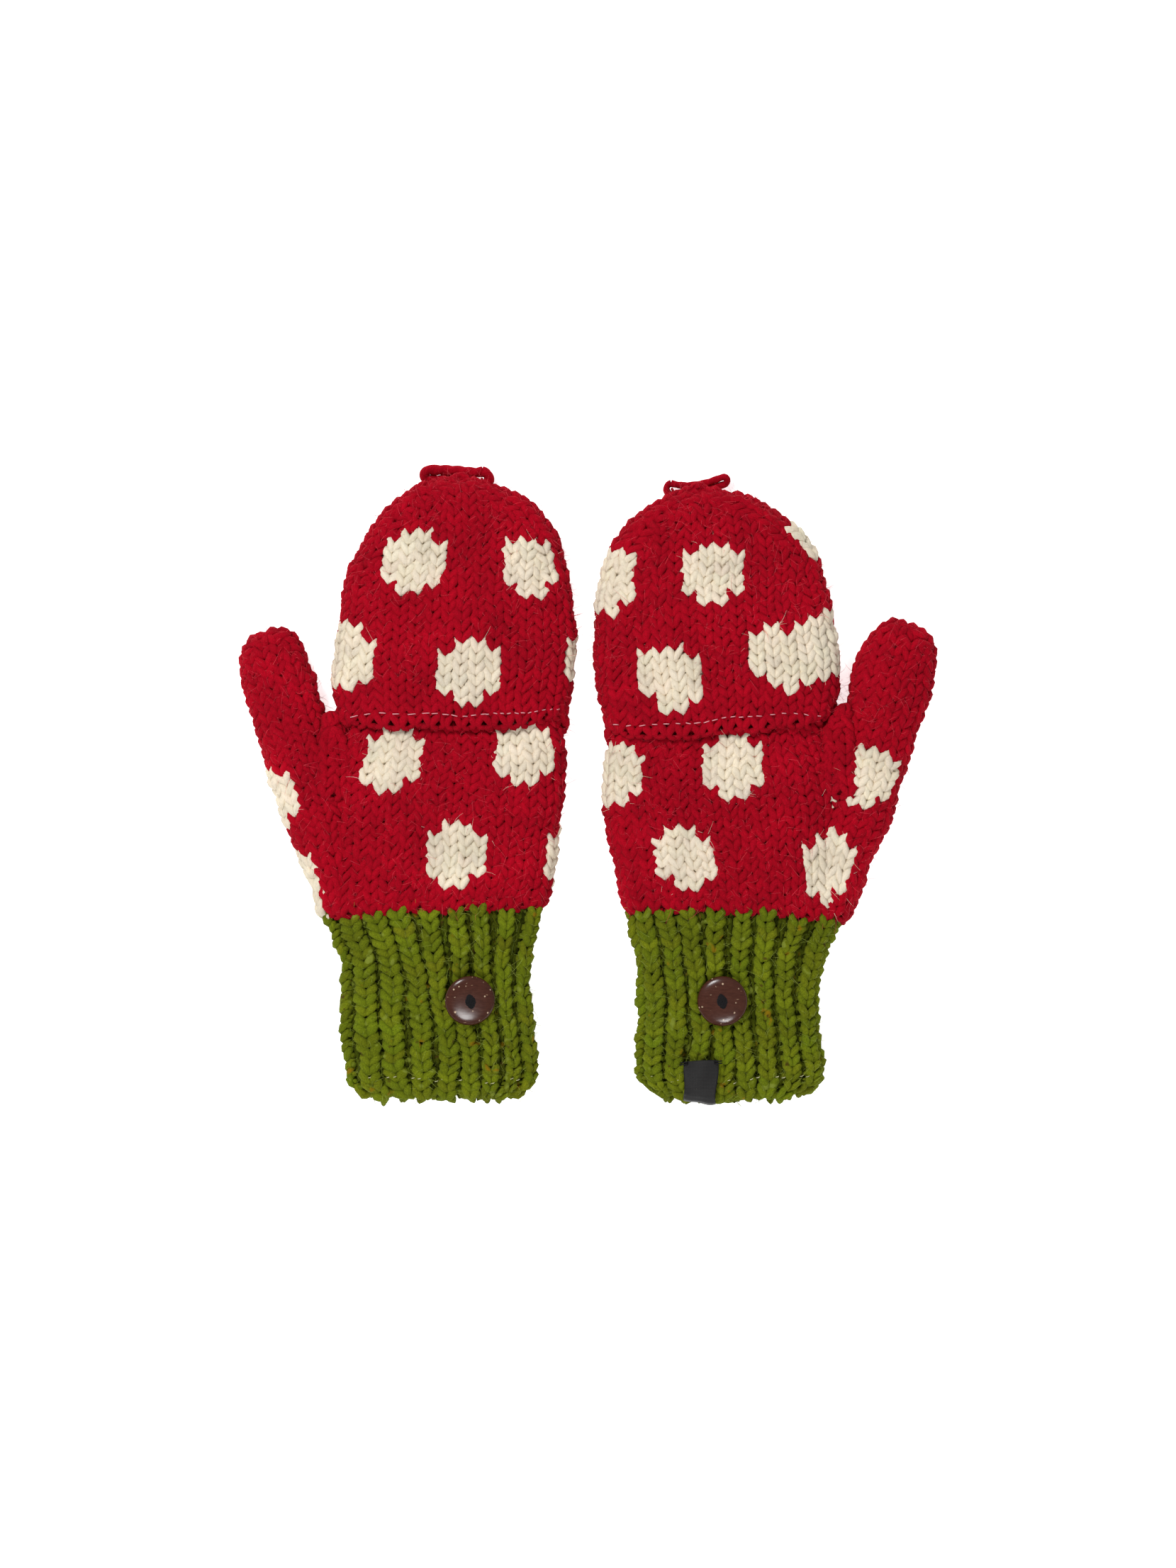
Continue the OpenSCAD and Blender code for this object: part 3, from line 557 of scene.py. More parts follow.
def fuzz(yarn, count, colour, length=(1.8, 6.0), thick=0.08, lift=0.42):
    """Loose fibres that stand off the yarn."""
    sizes = np.array([len(co) for co, _ in yarn.outer], float)
    points, sides = 5, 3
    quads, caps = tube_faces(points, sides)
    for g, (co, local) in enumerate(yarn.outer):
        share = int(count * sizes[g] / sizes.sum())
        if share == 0:
            continue
        front = np.nonzero(local[:, 2] > 0.6)[0]
        i = random.integers(0, len(co), share)
        j = random.choice(front, share)
        root = co[i, j]
        middle = co[i].mean(axis=1)
        out = unit(root - middle + 1e-6)
        away = unit(random.normal(size=(share, 3)))
        heading = unit(away * (1 - lift) + out * lift)
        curl = unit(random.normal(size=(share, 3)))
        size = random.uniform(*length, share)[:, None]
        s = np.linspace(0, 1, points)[None, :, None]
        line = root[:, None] + heading[:, None] * size[:, None] * s \
            + curl[:, None] * size[:, None] * 0.55 * s**2 - out[:, None] * 0.25
        ahead = unit(np.gradient(line, axis=1))
        side = unit(np.cross(ahead, curl[:, None] + 0.3))
        up = np.cross(side, ahead)
        angle = np.linspace(0, 2 * math.pi, sides, endpoint=False)
        r = thick * (1 - 0.7 * s)
        rings = (line[:, :, None] + (r[..., None] * side[:, :, None] * np.cos(angle)[None, None, :, None])
                 + (r[..., None] * up[:, :, None] * np.sin(angle)[None, None, :, None]))
        rings = rings.reshape(share, -1, 3)
        rings[..., 2] = np.maximum(rings[..., 2], 0.02)
        uv = np.full((share, points * sides, 2), 0.5)
        fibre = np.zeros_like(rings)
        yarn.add_many(rings, fibre, tinted(colour, 0.12, share), uv, quads, caps)


def hairs(yarn, name, slot, count, colour, **where):
    """The loose fibres of a piece, as a piece of their own."""
    loose = Yarn()
    loose.outer = yarn.outer
    fuzz(loose, count, colour)
    finish_piece(loose, name, slot, [], **where)


def rope(yarn, line, outs, radius, colour, pitch=7.0, sides=10, plies=2, lobe=0.24, closed=False):
    """A twisted yarn along a line of points."""
    if closed:
        line, outs = np.concatenate([line, line[:1]]), np.concatenate([outs, outs[:1]])
    far = np.concatenate([[0], np.cumsum(np.linalg.norm(np.diff(line, axis=0), axis=1))])
    turns = round(far[-1] / pitch) if closed else far[-1] / pitch
    twist = far / max(far[-1], 1e-6) * turns * 2 * math.pi / max(plies, 1) * 2
    rings, angle = ring_tube(line, outs, radius, sides, twist, plies, lobe)
    n = len(line)
    quads, caps = tube_faces(n, sides)
    along = np.broadcast_to(far[:, None], (n, sides))
    spin = angle - twist[:, None]
    fibre = np.stack([np.cos(spin), np.sin(spin), along * 0.22], -1)
    around = np.broadcast_to(angle / (2 * math.pi), (n, sides))
    uv = np.stack([along / 200.0, around * 0.08], -1)
    shade = tinted(colour, 0.03, 1)
    yarn.add(rings.reshape(-1, 3), fibre.reshape(-1, 3), shade, uv.reshape(-1, 2), quads, caps)


def spread(values, count):
    """The same values, interpolated to another number of them."""
    at, have = np.linspace(0, 1, count), np.linspace(0, 1, len(values))
    return unit(np.stack([np.interp(at, have, values[:, k]) for k in range(3)], -1))


def resampled(line, step):
    far = np.concatenate([[0], np.cumsum(np.linalg.norm(np.diff(line, axis=0), axis=1))])
    n = max(int(far[-1] / step), 4)
    s = np.linspace(0, far[-1], n + 1)
    return np.stack([np.interp(s, far, line[:, k]) for k in range(3)], -1)


# ---------------------------------------------------------------- materials
class Shader:
    """A new material, with short ways to add and join its nodes."""

    def __init__(self, name):
        self.material = bpy.data.materials.new(name)
        self.material.use_nodes = True
        self.nodes, self.links = self.material.node_tree.nodes, self.material.node_tree.links

    @functools.cached_property
    def place(self):
        return self.node("TexCoord").outputs["Object"]

    @functools.cached_property
    def fibre(self):
        return self.node("Attribute", attribute_name="fibre").outputs["Vector"]

    def set(self, socket, value):
        """Joins a socket to another, or gives it a constant."""
        if isinstance(value, bpy.types.NodeSocket):
            self.links.new(value, socket)
        else:
            is_colour = isinstance(value, tuple) and socket.type == "RGBA"
            socket.default_value = (*value, 1) if is_colour else value

    def node(self, kind, **values):
        made = self.nodes.new("ShaderNode" + kind)
        for key, value in values.items():
            if hasattr(made, key):
                setattr(made, key, value)
            else:
                self.set(made.inputs[key.replace("_", " ")], value)
        return made

    def noise(self, vector, **values):
        return self.node("TexNoise", Vector=vector, **values).outputs["Fac"]

    def cells(self, vector, scale):
        return self.node("TexVoronoi", Vector=vector, Scale=scale, Randomness=1.0).outputs["Distance"]

    def wave(self, bands, scale, distortion):
        made = self.node("TexWave", Vector=self.place, Scale=scale, Distortion=distortion, Detail=2.0)
        made.bands_direction = bands
        return made.outputs["Color"]

    def stretched(self, scale, turn):
        """The place on the object, stretched and turned about z."""
        return self.node("Mapping", Vector=self.place, Scale=scale, Rotation=(0, 0, turn)).outputs["Vector"]

    def ramp(self, fac, *stops):
        made = self.node("ValToRGB", Fac=fac)
        elements = made.color_ramp.elements
        while len(elements) > 1:
            elements.remove(elements[-1])
        for i, (position, value) in enumerate(stops):
            element = elements[0] if i == 0 else elements.new(position)
            element.position = position
            colour = value if isinstance(value, tuple) else (value, value, value)
            element.color = (*colour, 1)
        return made.outputs["Color"]

    def mix(self, kind, factor, a, b):
        made = self.node("Mix", data_type="RGBA", blend_type=kind)
        for name, value in (("Factor", factor), ("A", a), ("B", b)):
            self.set(made.inputs[name], value)
        return made.outputs["Result"]

    def bump(self, height, strength, distance, **under):
        made = self.node("Bump", Height=height, Strength=strength, Distance=distance, **under)
        return made.outputs["Normal"]

    def finish(self, colour, normal, roughness, specular, **more):
        """Sets the Principled shader. None leaves a socket as it is."""
        more.update(Base_Color=colour, Normal=normal, Roughness=roughness, Specular_IOR_Level=specular)
        for key, value in more.items():
            if value is not None:
                self.set(self.nodes["Principled BSDF"].inputs[key.replace("_", " ")], value)
        return self.material


def wool(name, sheen_tint, contrast, flecks=()):
    """Spun wool: fibres that run along the yarn with its twist, soft colour drift, and a matt sheen."""
    s = Shader(name)
    colour = s.node("Attribute", attribute_name="wool").outputs["Color"]
    streak = s.noise(s.fibre, Scale=5.2, Detail=4.0, Roughness=0.62)
    light = s.ramp(streak, (0.3, 1 - contrast), (0.52, 1.0), (0.78, 1 + 0.75 * contrast))
    shade = s.mix("MULTIPLY", 1.0, colour, light)
    drift = s.noise(s.place, Scale=60.0, Detail=3.0, Roughness=0.6)
    shade = s.mix("MULTIPLY", 1.0, shade, s.ramp(drift, (0.3, 0.86), (0.7, 1.12)))
    for scale, low, tint in flecks:
        fleck = s.noise(s.place, Scale=scale, Detail=1.5, Roughness=0.5)
        shade = s.mix("MIX", s.ramp(fleck, (low, 0.0), (low + 0.06, 0.85)), shade, tint)
    hair = s.noise(s.fibre, Scale=13.0, Detail=3.0, Roughness=0.7)
    normal = s.bump(hair, 0.5, 0.0002, Normal=s.bump(streak, 0.75, 0.0005))
    return s.finish(shade, normal, s.ramp(streak, (0.3, 0.95), (0.7, 0.78)), 0.06,
                    Sheen_Weight=0.08, Sheen_Roughness=0.45, Sheen_Tint=sheen_tint)


def thread(name, colour, roughness):
    """Sewing thread: fine twisted plies with a slight shine."""
    s = Shader(name)
    ply = s.noise(s.fibre, Scale=6.0, Detail=3.0, Roughness=0.6)
    dark = tuple(c * 0.6 for c in colour)
    return s.finish(s.ramp(ply, (0.3, dark), (0.65, colour)), s.bump(ply, 0.6, 0.0002), roughness, 0.12)


def coconut(name):
    """Polished coconut shell: dark brown with fine grain, pale fibres and small pale specks."""
    s = Shader(name)
    grain = s.noise(s.stretched((1.0, 3.2, 1.0), 0.5), Scale=420.0, Detail=6.0, Roughness=0.65)
    shade = s.ramp(grain, (0.28, (0.036, 0.0085, 0.004)), (0.5, (0.05, 0.0125, 0.006)),
                   (0.75, (0.066, 0.019, 0.01)))
    dot = s.ramp(s.cells(s.place, 430.0), (0.11, 1.0), (0.2, 0.0))
    few = s.ramp(s.noise(s.place, Scale=330.0, Detail=1.0), (0.5, 0.0), (0.56, 1.0))
    shade = s.mix("MIX", s.mix("MULTIPLY", 1.0, dot, few), shade, (0.5, 0.37, 0.25))
    strand = s.ramp(s.cells(s.stretched((0.32, 1.9, 1.0), -0.7), 330.0), (0.05, 0.9), (0.085, 0.0))
    shade = s.mix("MIX", strand, shade, (0.42, 0.27, 0.16))
    return s.finish(shade, s.bump(grain, 0.12, 0.0001), s.ramp(grain, (0.3, 0.18), (0.7, 0.25)), 0.38)


def satin(name):
    """Black woven satin ribbon."""
    s = Shader(name)
    weave = s.mix("MULTIPLY", 0.6, s.wave("Y", 900.0, 1.2), s.wave("X", 620.0, 0.8))
    tone = s.ramp(weave, (0.1, (0.008, 0.008, 0.0085)), (0.9, (0.026, 0.024, 0.023)))
    return s.finish(tone, s.bump(weave, 0.5, 0.0001), 0.5, 0.16)


def jersey(name):
    """Fine knitted lining, seen only through the cuff's mouth."""
    s = Shader(name)
    mottle = s.node("TexNoise", Vector=s.place, Scale=900.0, Detail=4.0).outputs["Color"]
    rib = s.mix("MULTIPLY", 0.5, s.wave("X", 260.0, 2.0), mottle)
    tone = s.ramp(rib, (0.1, (0.02, 0.022, 0.012)), (0.7, (0.055, 0.06, 0.03)))
    return s.finish(tone, s.bump(rib, 0.7, 0.0004), 0.9, None)


OLIVE_FLECKS = [(170.0, 0.69, (0.25, 0.14, 0.004)), (210.0, 0.71, (0.06, 0.03, 0.006)),
                (190.0, 0.66, (0.2, 0.24, 0.03))]
MATERIALS = {
    "red_wool": wool("red_wool", (1.0, 0.12, 0.16), 0.36),
    "cream_wool": wool("cream_wool", (1.0, 0.95, 0.88), 0.13),
    "olive_wool": wool("olive_wool", (0.75, 0.95, 0.2), 0.5, OLIVE_FLECKS),
    "seam_thread": thread("seam_thread", PINK, 0.5),
    "lining_thread": thread("lining_thread", PALE, 0.55),
    "button_thread": thread("button_thread", BLACK, 0.55),
    "coconut_shell": coconut("coconut_shell"),
    "satin_label": satin("satin_label"),
    "lining_knit": jersey("lining_knit"),
}


# ---------------------------------------------------------------- the pieces
def flat_columns(knit, per_quarter, start, end, pitch, narrow=0.93, band=2, taper=True):
    """Columns all round a flattened tube. Where the tube narrows to a tip, the outermost columns
    follow its outline and the others end against them. start and end give t for a value of f."""
    tube = knit.tube
    t_all = np.arange(tube.count, dtype=float)
    width = tube.quarter / per_quarter
    if taper:
        width = np.maximum(width, narrow * np.max(tube.quarter) / per_quarter)
    for number in range(-int(2 * per_quarter), int(2 * per_quarter)):
        place = number + 0.5
        a = abs(place)
        inboard = per_quarter - a
        if abs(inboard) < band:
            arc = tube.quarter - inboard * width
            limit = (arc > 0.2) & (arc < 2 * tube.quarter - 0.2)
        elif inboard > 0:
            arc = a * width
            limit = arc < tube.quarter - (band - 0.15) * width
        else:
            arc = 2 * tube.quarter - (2 * per_quarter - a) * width
            limit = arc > tube.quarter + (band - 0.15) * width
        f = np.sign(place) * arc / tube.quarter
        first, last = value_at(start, place / per_quarter), value_at(end, place / per_quarter)
        t = t_all[(t_all >= first) & (t_all <= last) & limit]
        if len(t) < 3:
            continue
        if t[0] - 1 < first < t[0] - 0.01:
            t = np.concatenate([[first], t])
        path = Path(tube, t, np.interp(t, t_all, f))
        knit.column(number, path, 0.0, path.length(), pitch)


def t_at(tube, y):
    return np.interp(y, tube.rings[:, 0], np.arange(tube.count))


def fold_line(spec):
    """The fold line's y, as a function of x."""
    hx, hy = spec["hinge_at"]
    slope = math.tan(math.radians(spec["hinge_slant"]))
    return lambda x: hy + slope * (x - hx)


def mouth_t(tube, spec):
    """The flap's mouth as t for each f: the fold line on the back, the lip on the palm."""
    f = np.linspace(-2, 2, 161)
    fold_y = fold_line(spec)
    result = []
    for value in f:
        t = np.arange(tube.count, dtype=float)
        p, _ = tube.place(t, np.full(tube.count, value))
        below = np.maximum((HINGE_Z - MOUTH_DEPTH) - p[:, 2], 0)
        lip = LIP_OVERLAP * below / (HINGE_Z - MOUTH_DEPTH)
        result.append(np.interp(0, p[:, 1] - (fold_y(p[:, 0]) - lip), t))
    return lambda v: np.interp(v, f, np.array(result))


def end_rope(yarn, tube, radius, colour):
    """A twisted yarn round the far end of a tube."""
    f = np.linspace(-2, 2, 241)
    p, n = tube.place(np.full(len(f), tube.count - 1.0), f)
    line = resampled(p, ROPE_STEP)
    rope(yarn, line[:-1], unit(spread(n, len(line))[:-1]), radius, colour, closed=True)


def finish_piece(yarn, name, slot, nodes, body=None, blend=None, **how):
    """Builds a piece, and says what carries it, what it replaces and what it is made of."""
    piece = yarn.build(name, MATERIALS[slot], **how)
    if blend:
        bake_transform(piece)
    else:
        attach(piece, body)
    if nodes:
        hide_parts(*nodes)
    return piece


def knitted_part(knit, side, part, spots, behind, loose, **where):
    """One part in three pieces: its red yarn with what lies behind, its loose fibres, its cream spots."""
    yarn = Yarn()
    knit.build(yarn, "base", RED, RED_SPREAD)
    behind(yarn)
    finish_piece(yarn, f"{side}_{part}_knit", "red_wool", [f"{side}_{part}"], **where)
    hairs(yarn, f"{side}_{part}_fuzz", "red_wool", loose[0], RED_HAIR_PAINTED_SHEEN, **where)
    yarn = Yarn()
    knit.build(yarn, "spot", CREAM, CREAM_SPREAD)
    fuzz(yarn, loose[1], CREAM)
    finish_piece(yarn, f"{side}_{part}_spot_knit", "cream_wool", [f"{side}_{spots}"], **where)


STOCKINETTE = loop_template(STITCH_W, 3.45)
SLEEVE_LOOP = loop_template(5.6, 3.1, radius=1.1, depth=0.5, points=11, sides=6)
RIB = loop_template(7.2, 3.3, lean=0.25, depth=1.25, radius=1.5)
PURL = loop_template(3.4, 2.9, lean=0.1, depth=-0.5, radius=1.0, points=9, sides=5)


def flap_and_fold(side, spec):
    """The fold-back top, and the strip of knitting that runs over the fold line on to the hem."""
    rows = np.array(ROWS[f"{side}_flap"], float)
    tuck = 2.2 * np.clip(1 - (rows[:, 0] - spec["hinge_at"][1]) / 24, 0, 1)
    rows[:, 1] += tuck
    rows[:, 2] -= tuck
    tube = Tube(rows, FLAP_WALL / 2, ROUNDNESS)
    mouth = mouth_t(tube, spec)
    strip_rows = 2
    fold_y = fold_line(spec)

    # A column that starts on the fold line starts two rows early, so that its rows meet the hem's.
    reach = np.linspace(-2, 2, 161)
    p, _ = tube.place(mouth(reach), reach)
    on_fold = (p[:, 2] > HINGE_Z - MOUTH_DEPTH + 0.2) & (np.abs(reach) < 1)
    f_edge = np.max(np.abs(reach[on_fold]))

    def hem(f):
        f = np.atleast_1d(f)
        x = tube.place(mouth(f), f)[0][:, 0]
        return t_at(tube, fold_y(x) - HEM_W * np.sqrt(np.maximum(1 - np.abs(f / f_edge) ** 7, 0)))

    def strip_top(f):
        return t_at(tube, np.interp(hem(f), np.arange(tube.count), tube.rings[:, 0])
                    + 2 * strip_rows * STITCH_H)

    knit = Knit(tube, STOCKINETTE)
    flat_columns(knit, FLAT_COLUMNS, lambda f: float(hem(f)[0]) if abs(f) < f_edge else float(mouth(f)),
                 tube.count - 1.0, STITCH_H)
    for along, arc in spec["flap_spots"]:
        knit.spot(along, arc, FLAT_COLUMNS)
    strip = [abs((loop[0] + 0.5) / FLAT_COLUMNS) < f_edge and loop[1] < 2 * strip_rows
             for loop in knit.loops]
    fold = Knit(tube, STOCKINETTE)
    fold.loops = [loop for loop, yes in zip(knit.loops, strip) if yes]
    knit.keep([not yes for yes in strip])

    def behind(yarn):
        backing(yarn, tube, lambda f: np.maximum(mouth(f), np.where(np.abs(f) < f_edge, strip_top(f), 0)),
                tube.count - 1.2, RED, loops=knit)
        palm_f = np.concatenate([np.linspace(f_edge, 2, 121)[:-1], np.linspace(-2, -f_edge, 121)])
        pts, outs = tube.place(mouth(palm_f), palm_f)
        line = resampled(pts, ROPE_STEP)
        rope(yarn, line, spread(outs, len(line)), 1.5, RED)

    knitted_part(knit, side, "flap", "flap_spots", behind, (2200, 260), body=f"{side}_flap_top")

    slant = math.radians(spec["hinge_slant"])
    across = Vector((-math.sin(slant), math.cos(slant), 0)) * 2.5
    middle = Vector((*spec["hinge_at"], HINGE_Z))
    crossing = (f"{side}_glove", f"{side}_flap_top", (middle - across) * MM, (middle + across) * MM)
    yarn = Yarn()
    fold.build(yarn, "base", RED, RED_SPREAD)
    backing(yarn, tube, lambda f: hem(f) + 2.0, strip_top, RED, f_range=(-f_edge, f_edge), steps=10,
            across=48, loops=fold)
    finish_piece(yarn, f"{side}_fold_knit", "red_wool", [f"{side}_hem"], blend=crossing)
    if any(loop[5] == "spot" for loop in fold.loops):
        yarn = Yarn()
        fold.build(yarn, "spot", CREAM, CREAM_SPREAD)
        finish_piece(yarn, f"{side}_fold_spot_knit", "cream_wool", [], blend=crossing)
    return tube, crossing


def hand_and_thumb(side, spec):
    glove = f"{side}_glove"
    hand = Tube(ROWS[f"{side}_hand"], GLOVE_WALL / 2, ROUNDNESS)
    thumb = Tube(ROWS[f"{side}_thumb"], GLOVE_WALL / 2, THUMB_ROUNDNESS, spec["thumb_at"], spec["thumb_lean"])

    knit = Knit(hand, STOCKINETTE)
    flat_columns(knit, FLAT_COLUMNS, 0.0, hand.count - 1.0, STITCH_H, taper=False)
    centres = knit.centres()
    knit.keep(~((thumb.depth(centres) < 0.7) & (thumb.local_y(centres) < 4)))
    for along, arc in spec["hand_spots"]:
        knit.spot(along, arc, FLAT_COLUMNS)
    knitted_part(knit, side, "hand", "hand_spots",
                 lambda yarn: backing(yarn, hand, 0.0, hand.count - 1.0, RED, loops=knit),
                 (2000, 200), body=glove)

    knit = Knit(thumb, STOCKINETTE)
    flat_columns(knit, THUMB_COLUMNS, 0.0, thumb.count - 1.0, STITCH_H, narrow=0.9, band=1)
    knit.keep(hand.depth(knit.centres()) > 0.8)
    for along, arc in spec["thumb_spots"]:
        knit.spot(along, arc, THUMB_COLUMNS)
    centres = knit.centres()
    for loop, depth, ahead in zip(knit.loops, hand.depth(centres), thumb.local_y(centres)):
        loop[5] = "base" if depth < 1.15 and ahead > -8 else loop[5]
    ahead = Vector((-math.sin(thumb.lean), math.cos(thumb.lean), 0))
    root = Vector((*spec["thumb_at"], 0))
    crossing = (glove, f"{side}_thumb_stall", (root - ahead * 6) * MM, (root + ahead * 22) * MM)
    knitted_part(knit, side, "thumb", "thumb_spot",
                 lambda yarn: backing(yarn, thumb, 4.0, thumb.count - 1.2, RED, across=48, loops=knit),
                 (700, 40), blend=crossing)

    # The few stitches between the thumb and the hand.
    web = Tube(spec["web"], GLOVE_WALL / 2, THUMB_ROUNDNESS)
    knit = Knit(web, STOCKINETTE)
    t = np.arange(web.count, dtype=float)
    for number, f in enumerate((-0.8, -0.27, 0.27, 0.8)):
        path = Path(web, t, np.full(web.count, f))
        knit.column(number, path, 0.0, path.length(), STITCH_H)
    yarn = Yarn()
    knit.build(yarn, "base", RED, RED_SPREAD)
    backing(yarn, web, 0.0, web.count - 1.0, RED, across=32)
    finish_piece(yarn, f"{side}_web_knit", "red_wool", [], glove)
    return hand


def sleeves(side, spec, hand):
    root = hand.rings[-1, 0]
    taper = 0.8
    for name, (left, right, tip, lean, thin) in zip(SLEEVE_NAMES, spec["sleeves"]):
        low, high = 6.4 + thin, 21.8 - thin
        rows = [[root - 2, left, right, low, high],
                [(root + tip) / 2, left + (lean + taper) / 2, right + (lean - taper) / 2, low, high - taper],
                [tip, left + lean + taper, right + lean - taper, low, high - 2 * taper]]
        tube = Tube(rows, SLEEVE_WALL / 2, ROUNDNESS)
        knit = Knit(tube, SLEEVE_LOOP)
        flat_columns(knit, 2.5, 0.0, tube.count - 1.0, 3.8, taper=False, band=1)
        yarn = Yarn()
        knit.build(yarn, "base", RED, RED_SPREAD, total=12, long=60)
        backing(yarn, tube, 0.0, tube.count - 1.0, RED, across=32, deep=(0.1, 0.7))
        end_rope(yarn, tube, 1.15, RED)
        finish_piece(yarn, f"{side}_{name}_sleeve_knit", "red_wool", [f"{side}_{name}_sleeve"],
                     f"{side}_glove")


def cuff(side, spec):
    """Ribs of knit columns with purl bumps in the grooves. The ribs are wider towards the thumb, and
    their tops lean over."""
    tube = Tube(ROWS[f"{side}_cuff"], GLOVE_WALL / 2 + 0.3, ROUNDNESS)
    ribs = 17
    pitch = 3.95
    even = 4 * np.mean(tube.quarter) / ribs
    olive = np.array(OLIVE)
    yarn = Yarn()
    ribs_knit, grooves = Knit(tube, RIB), Knit(tube, PURL)
    t = np.arange(tube.count, dtype=float)
    up = t / tube.count
    for rib in range(ribs):
        for knit, shift, drop in ((ribs_knit, 0.0, 0.0), (grooves, 0.5, 1.6)):
            u = -2 + 4 * ((rib + shift + spec["rib_first"]) % ribs) / ribs
            lean = spec["rib_sweep"] * up**1.6 + 0.018 * np.sin(7.5 * up + rib * 1.9)
            f = u + math.cos(math.pi * u / 2) * (spec["rib_widen"] - lean)
            wide = (1 - spec["rib_widen"] * math.pi / 2 * math.sin(math.pi * u / 2)) * even / 9.6
            path = Path(tube, t, np.clip(f, -2, 2))
            path.p = path.p - path.out * drop
            knit.column(rib, path, 0.0, path.length(), pitch, 0.6 * math.sin(rib * 2.1), wide)
    ribs_knit.build(yarn, "base", OLIVE, 0.09, jitter=1.25, total=ribs, long=80)
    # Painted shade: the purl bumps in the grooves are coloured at half the olive, for the shade in the
    # recesses between the ribs.
    grooves.build(yarn, "base", olive * 0.5, 0.09, total=ribs, long=80)
    # Painted shade: the layer behind the ribs is olive at 0.6, which backing darkens further.
    backing(yarn, tube, 2.0, tube.count - 1.0, olive * 0.6, deep=(1.2, 1.9))
    f = np.linspace(-2, 2, 361)
    p, n = tube.place(np.zeros(len(f)), f)
    wave = 2 * math.pi * (f + 2) / 4 * ribs
    p[:, 1] += 1.5 - 1.1 * np.cos(wave + 0.5) - 0.5 * np.cos(2.3 * wave)
    line = resampled(p + n * 0.3, 0.8)[:-1]
    rope(yarn, line, spread(n, len(line)), 1.75, olive * 0.95, pitch=6.0, closed=True)
    finish_piece(yarn, f"{side}_cuff_knit", "olive_wool", [f"{side}_cuff"], f"{side}_glove")
    hairs(yarn, f"{side}_cuff_fuzz", "olive_wool", 1800, OLIVE_HAIR_PAINTED_SHEEN, body=f"{side}_glove")

    band = Tube(ROWS[f"{side}_cuff"], GLOVE_WALL + 0.3, ROUNDNESS)
    yarn = Yarn()
    backing(yarn, band, 1.2 * Tube.STEPS, 4.8 * Tube.STEPS, (0.06, 0.065, 0.04), deep=(0.0, 1.5),
            across=160, steps=60)
    finish_piece(yarn, f"{side}_cuff_lining_band", "lining_knit", [f"{side}_cuff_lining"],
                 f"{side}_glove")
    return tube


def on_back(tube, x, y):
    """The point of a tube's middle surface above (x, y), on the back, and its normal."""
    f = np.linspace(-1.1, 1.1, 89)
    t = np.full(len(f), t_at(tube, y))
    p, _ = tube.place(t, f)
    p, n = tube.place(t[:1], np.array([np.interp(x, p[:, 0], f)]))
    return p[0], n[0]


def dash(yarn, tube, start, end, radius, colour, rise, dip):
    """A stitch of thread between two places on the back, whose ends go down between the loops."""
    line, outs = [], []
    for k in np.linspace(0, 1, 9):
        x, y = start[0] + (end[0] - start[0]) * k, start[1] + (end[1] - start[1]) * k
        p, n = on_back(tube, x, y)
        line.append(p + n * (rise - dip * (2 * k - 1) ** 4))
        outs.append(n)
    rope(yarn, np.array(line), np.array(outs), radius, colour, pitch=1.6, sides=7, lobe=0.2)


def seam(side, spec, tube, crossing):
    """The running stitch along the fold line."""
    back, radius = 1.6, 0.22
    hx, hy = spec["hinge_at"]
    slant = math.radians(spec["hinge_slant"])
    yarn = Yarn()
    for first, last, pitch, length in spec["seam"]:
        for s in np.arange(first, last, pitch):
            s = s + random.uniform(-0.3, 0.3)
            ends = []
            for reach in (s, s + length * random.uniform(0.8, 1.15)):
                ends.append((hx + reach * math.cos(slant),
                             hy + reach * math.sin(slant) - back + random.uniform(-0.25, 0.25)))
            dash(yarn, tube, *ends, radius, PINK, 2.3, 0.9)
    finish_piece(yarn, f"{side}_seam_thread", "seam_thread", [f"{side}_seam_stitches"], blend=crossing)


def lining_stitches(side, spec, tube):
    """Pairs of small pale stitches that come through the cuff from its lining."""
    row, half, radius = -118.0, 0.65, 0.19
    left, right = (np.interp(row, tube.rings[:, 0], tube.rings[:, k]) for k in (1, 2))
    yarn = Yarn()
    for s in spec["lining_stitches"]:
        for aside in (-1.2, 1.2):
            x, y = (left + right) / 2 + s + aside, row + random.uniform(-0.8, 0.8)
            dash(yarn, tube, (x - half, y - 0.2), (x + half, y + 0.2), radius, PALE, 2.5, 1.2)
    finish_piece(yarn, f"{side}_lining_thread", "lining_thread", [f"{side}_lining_stitches"], f"{side}_glove")


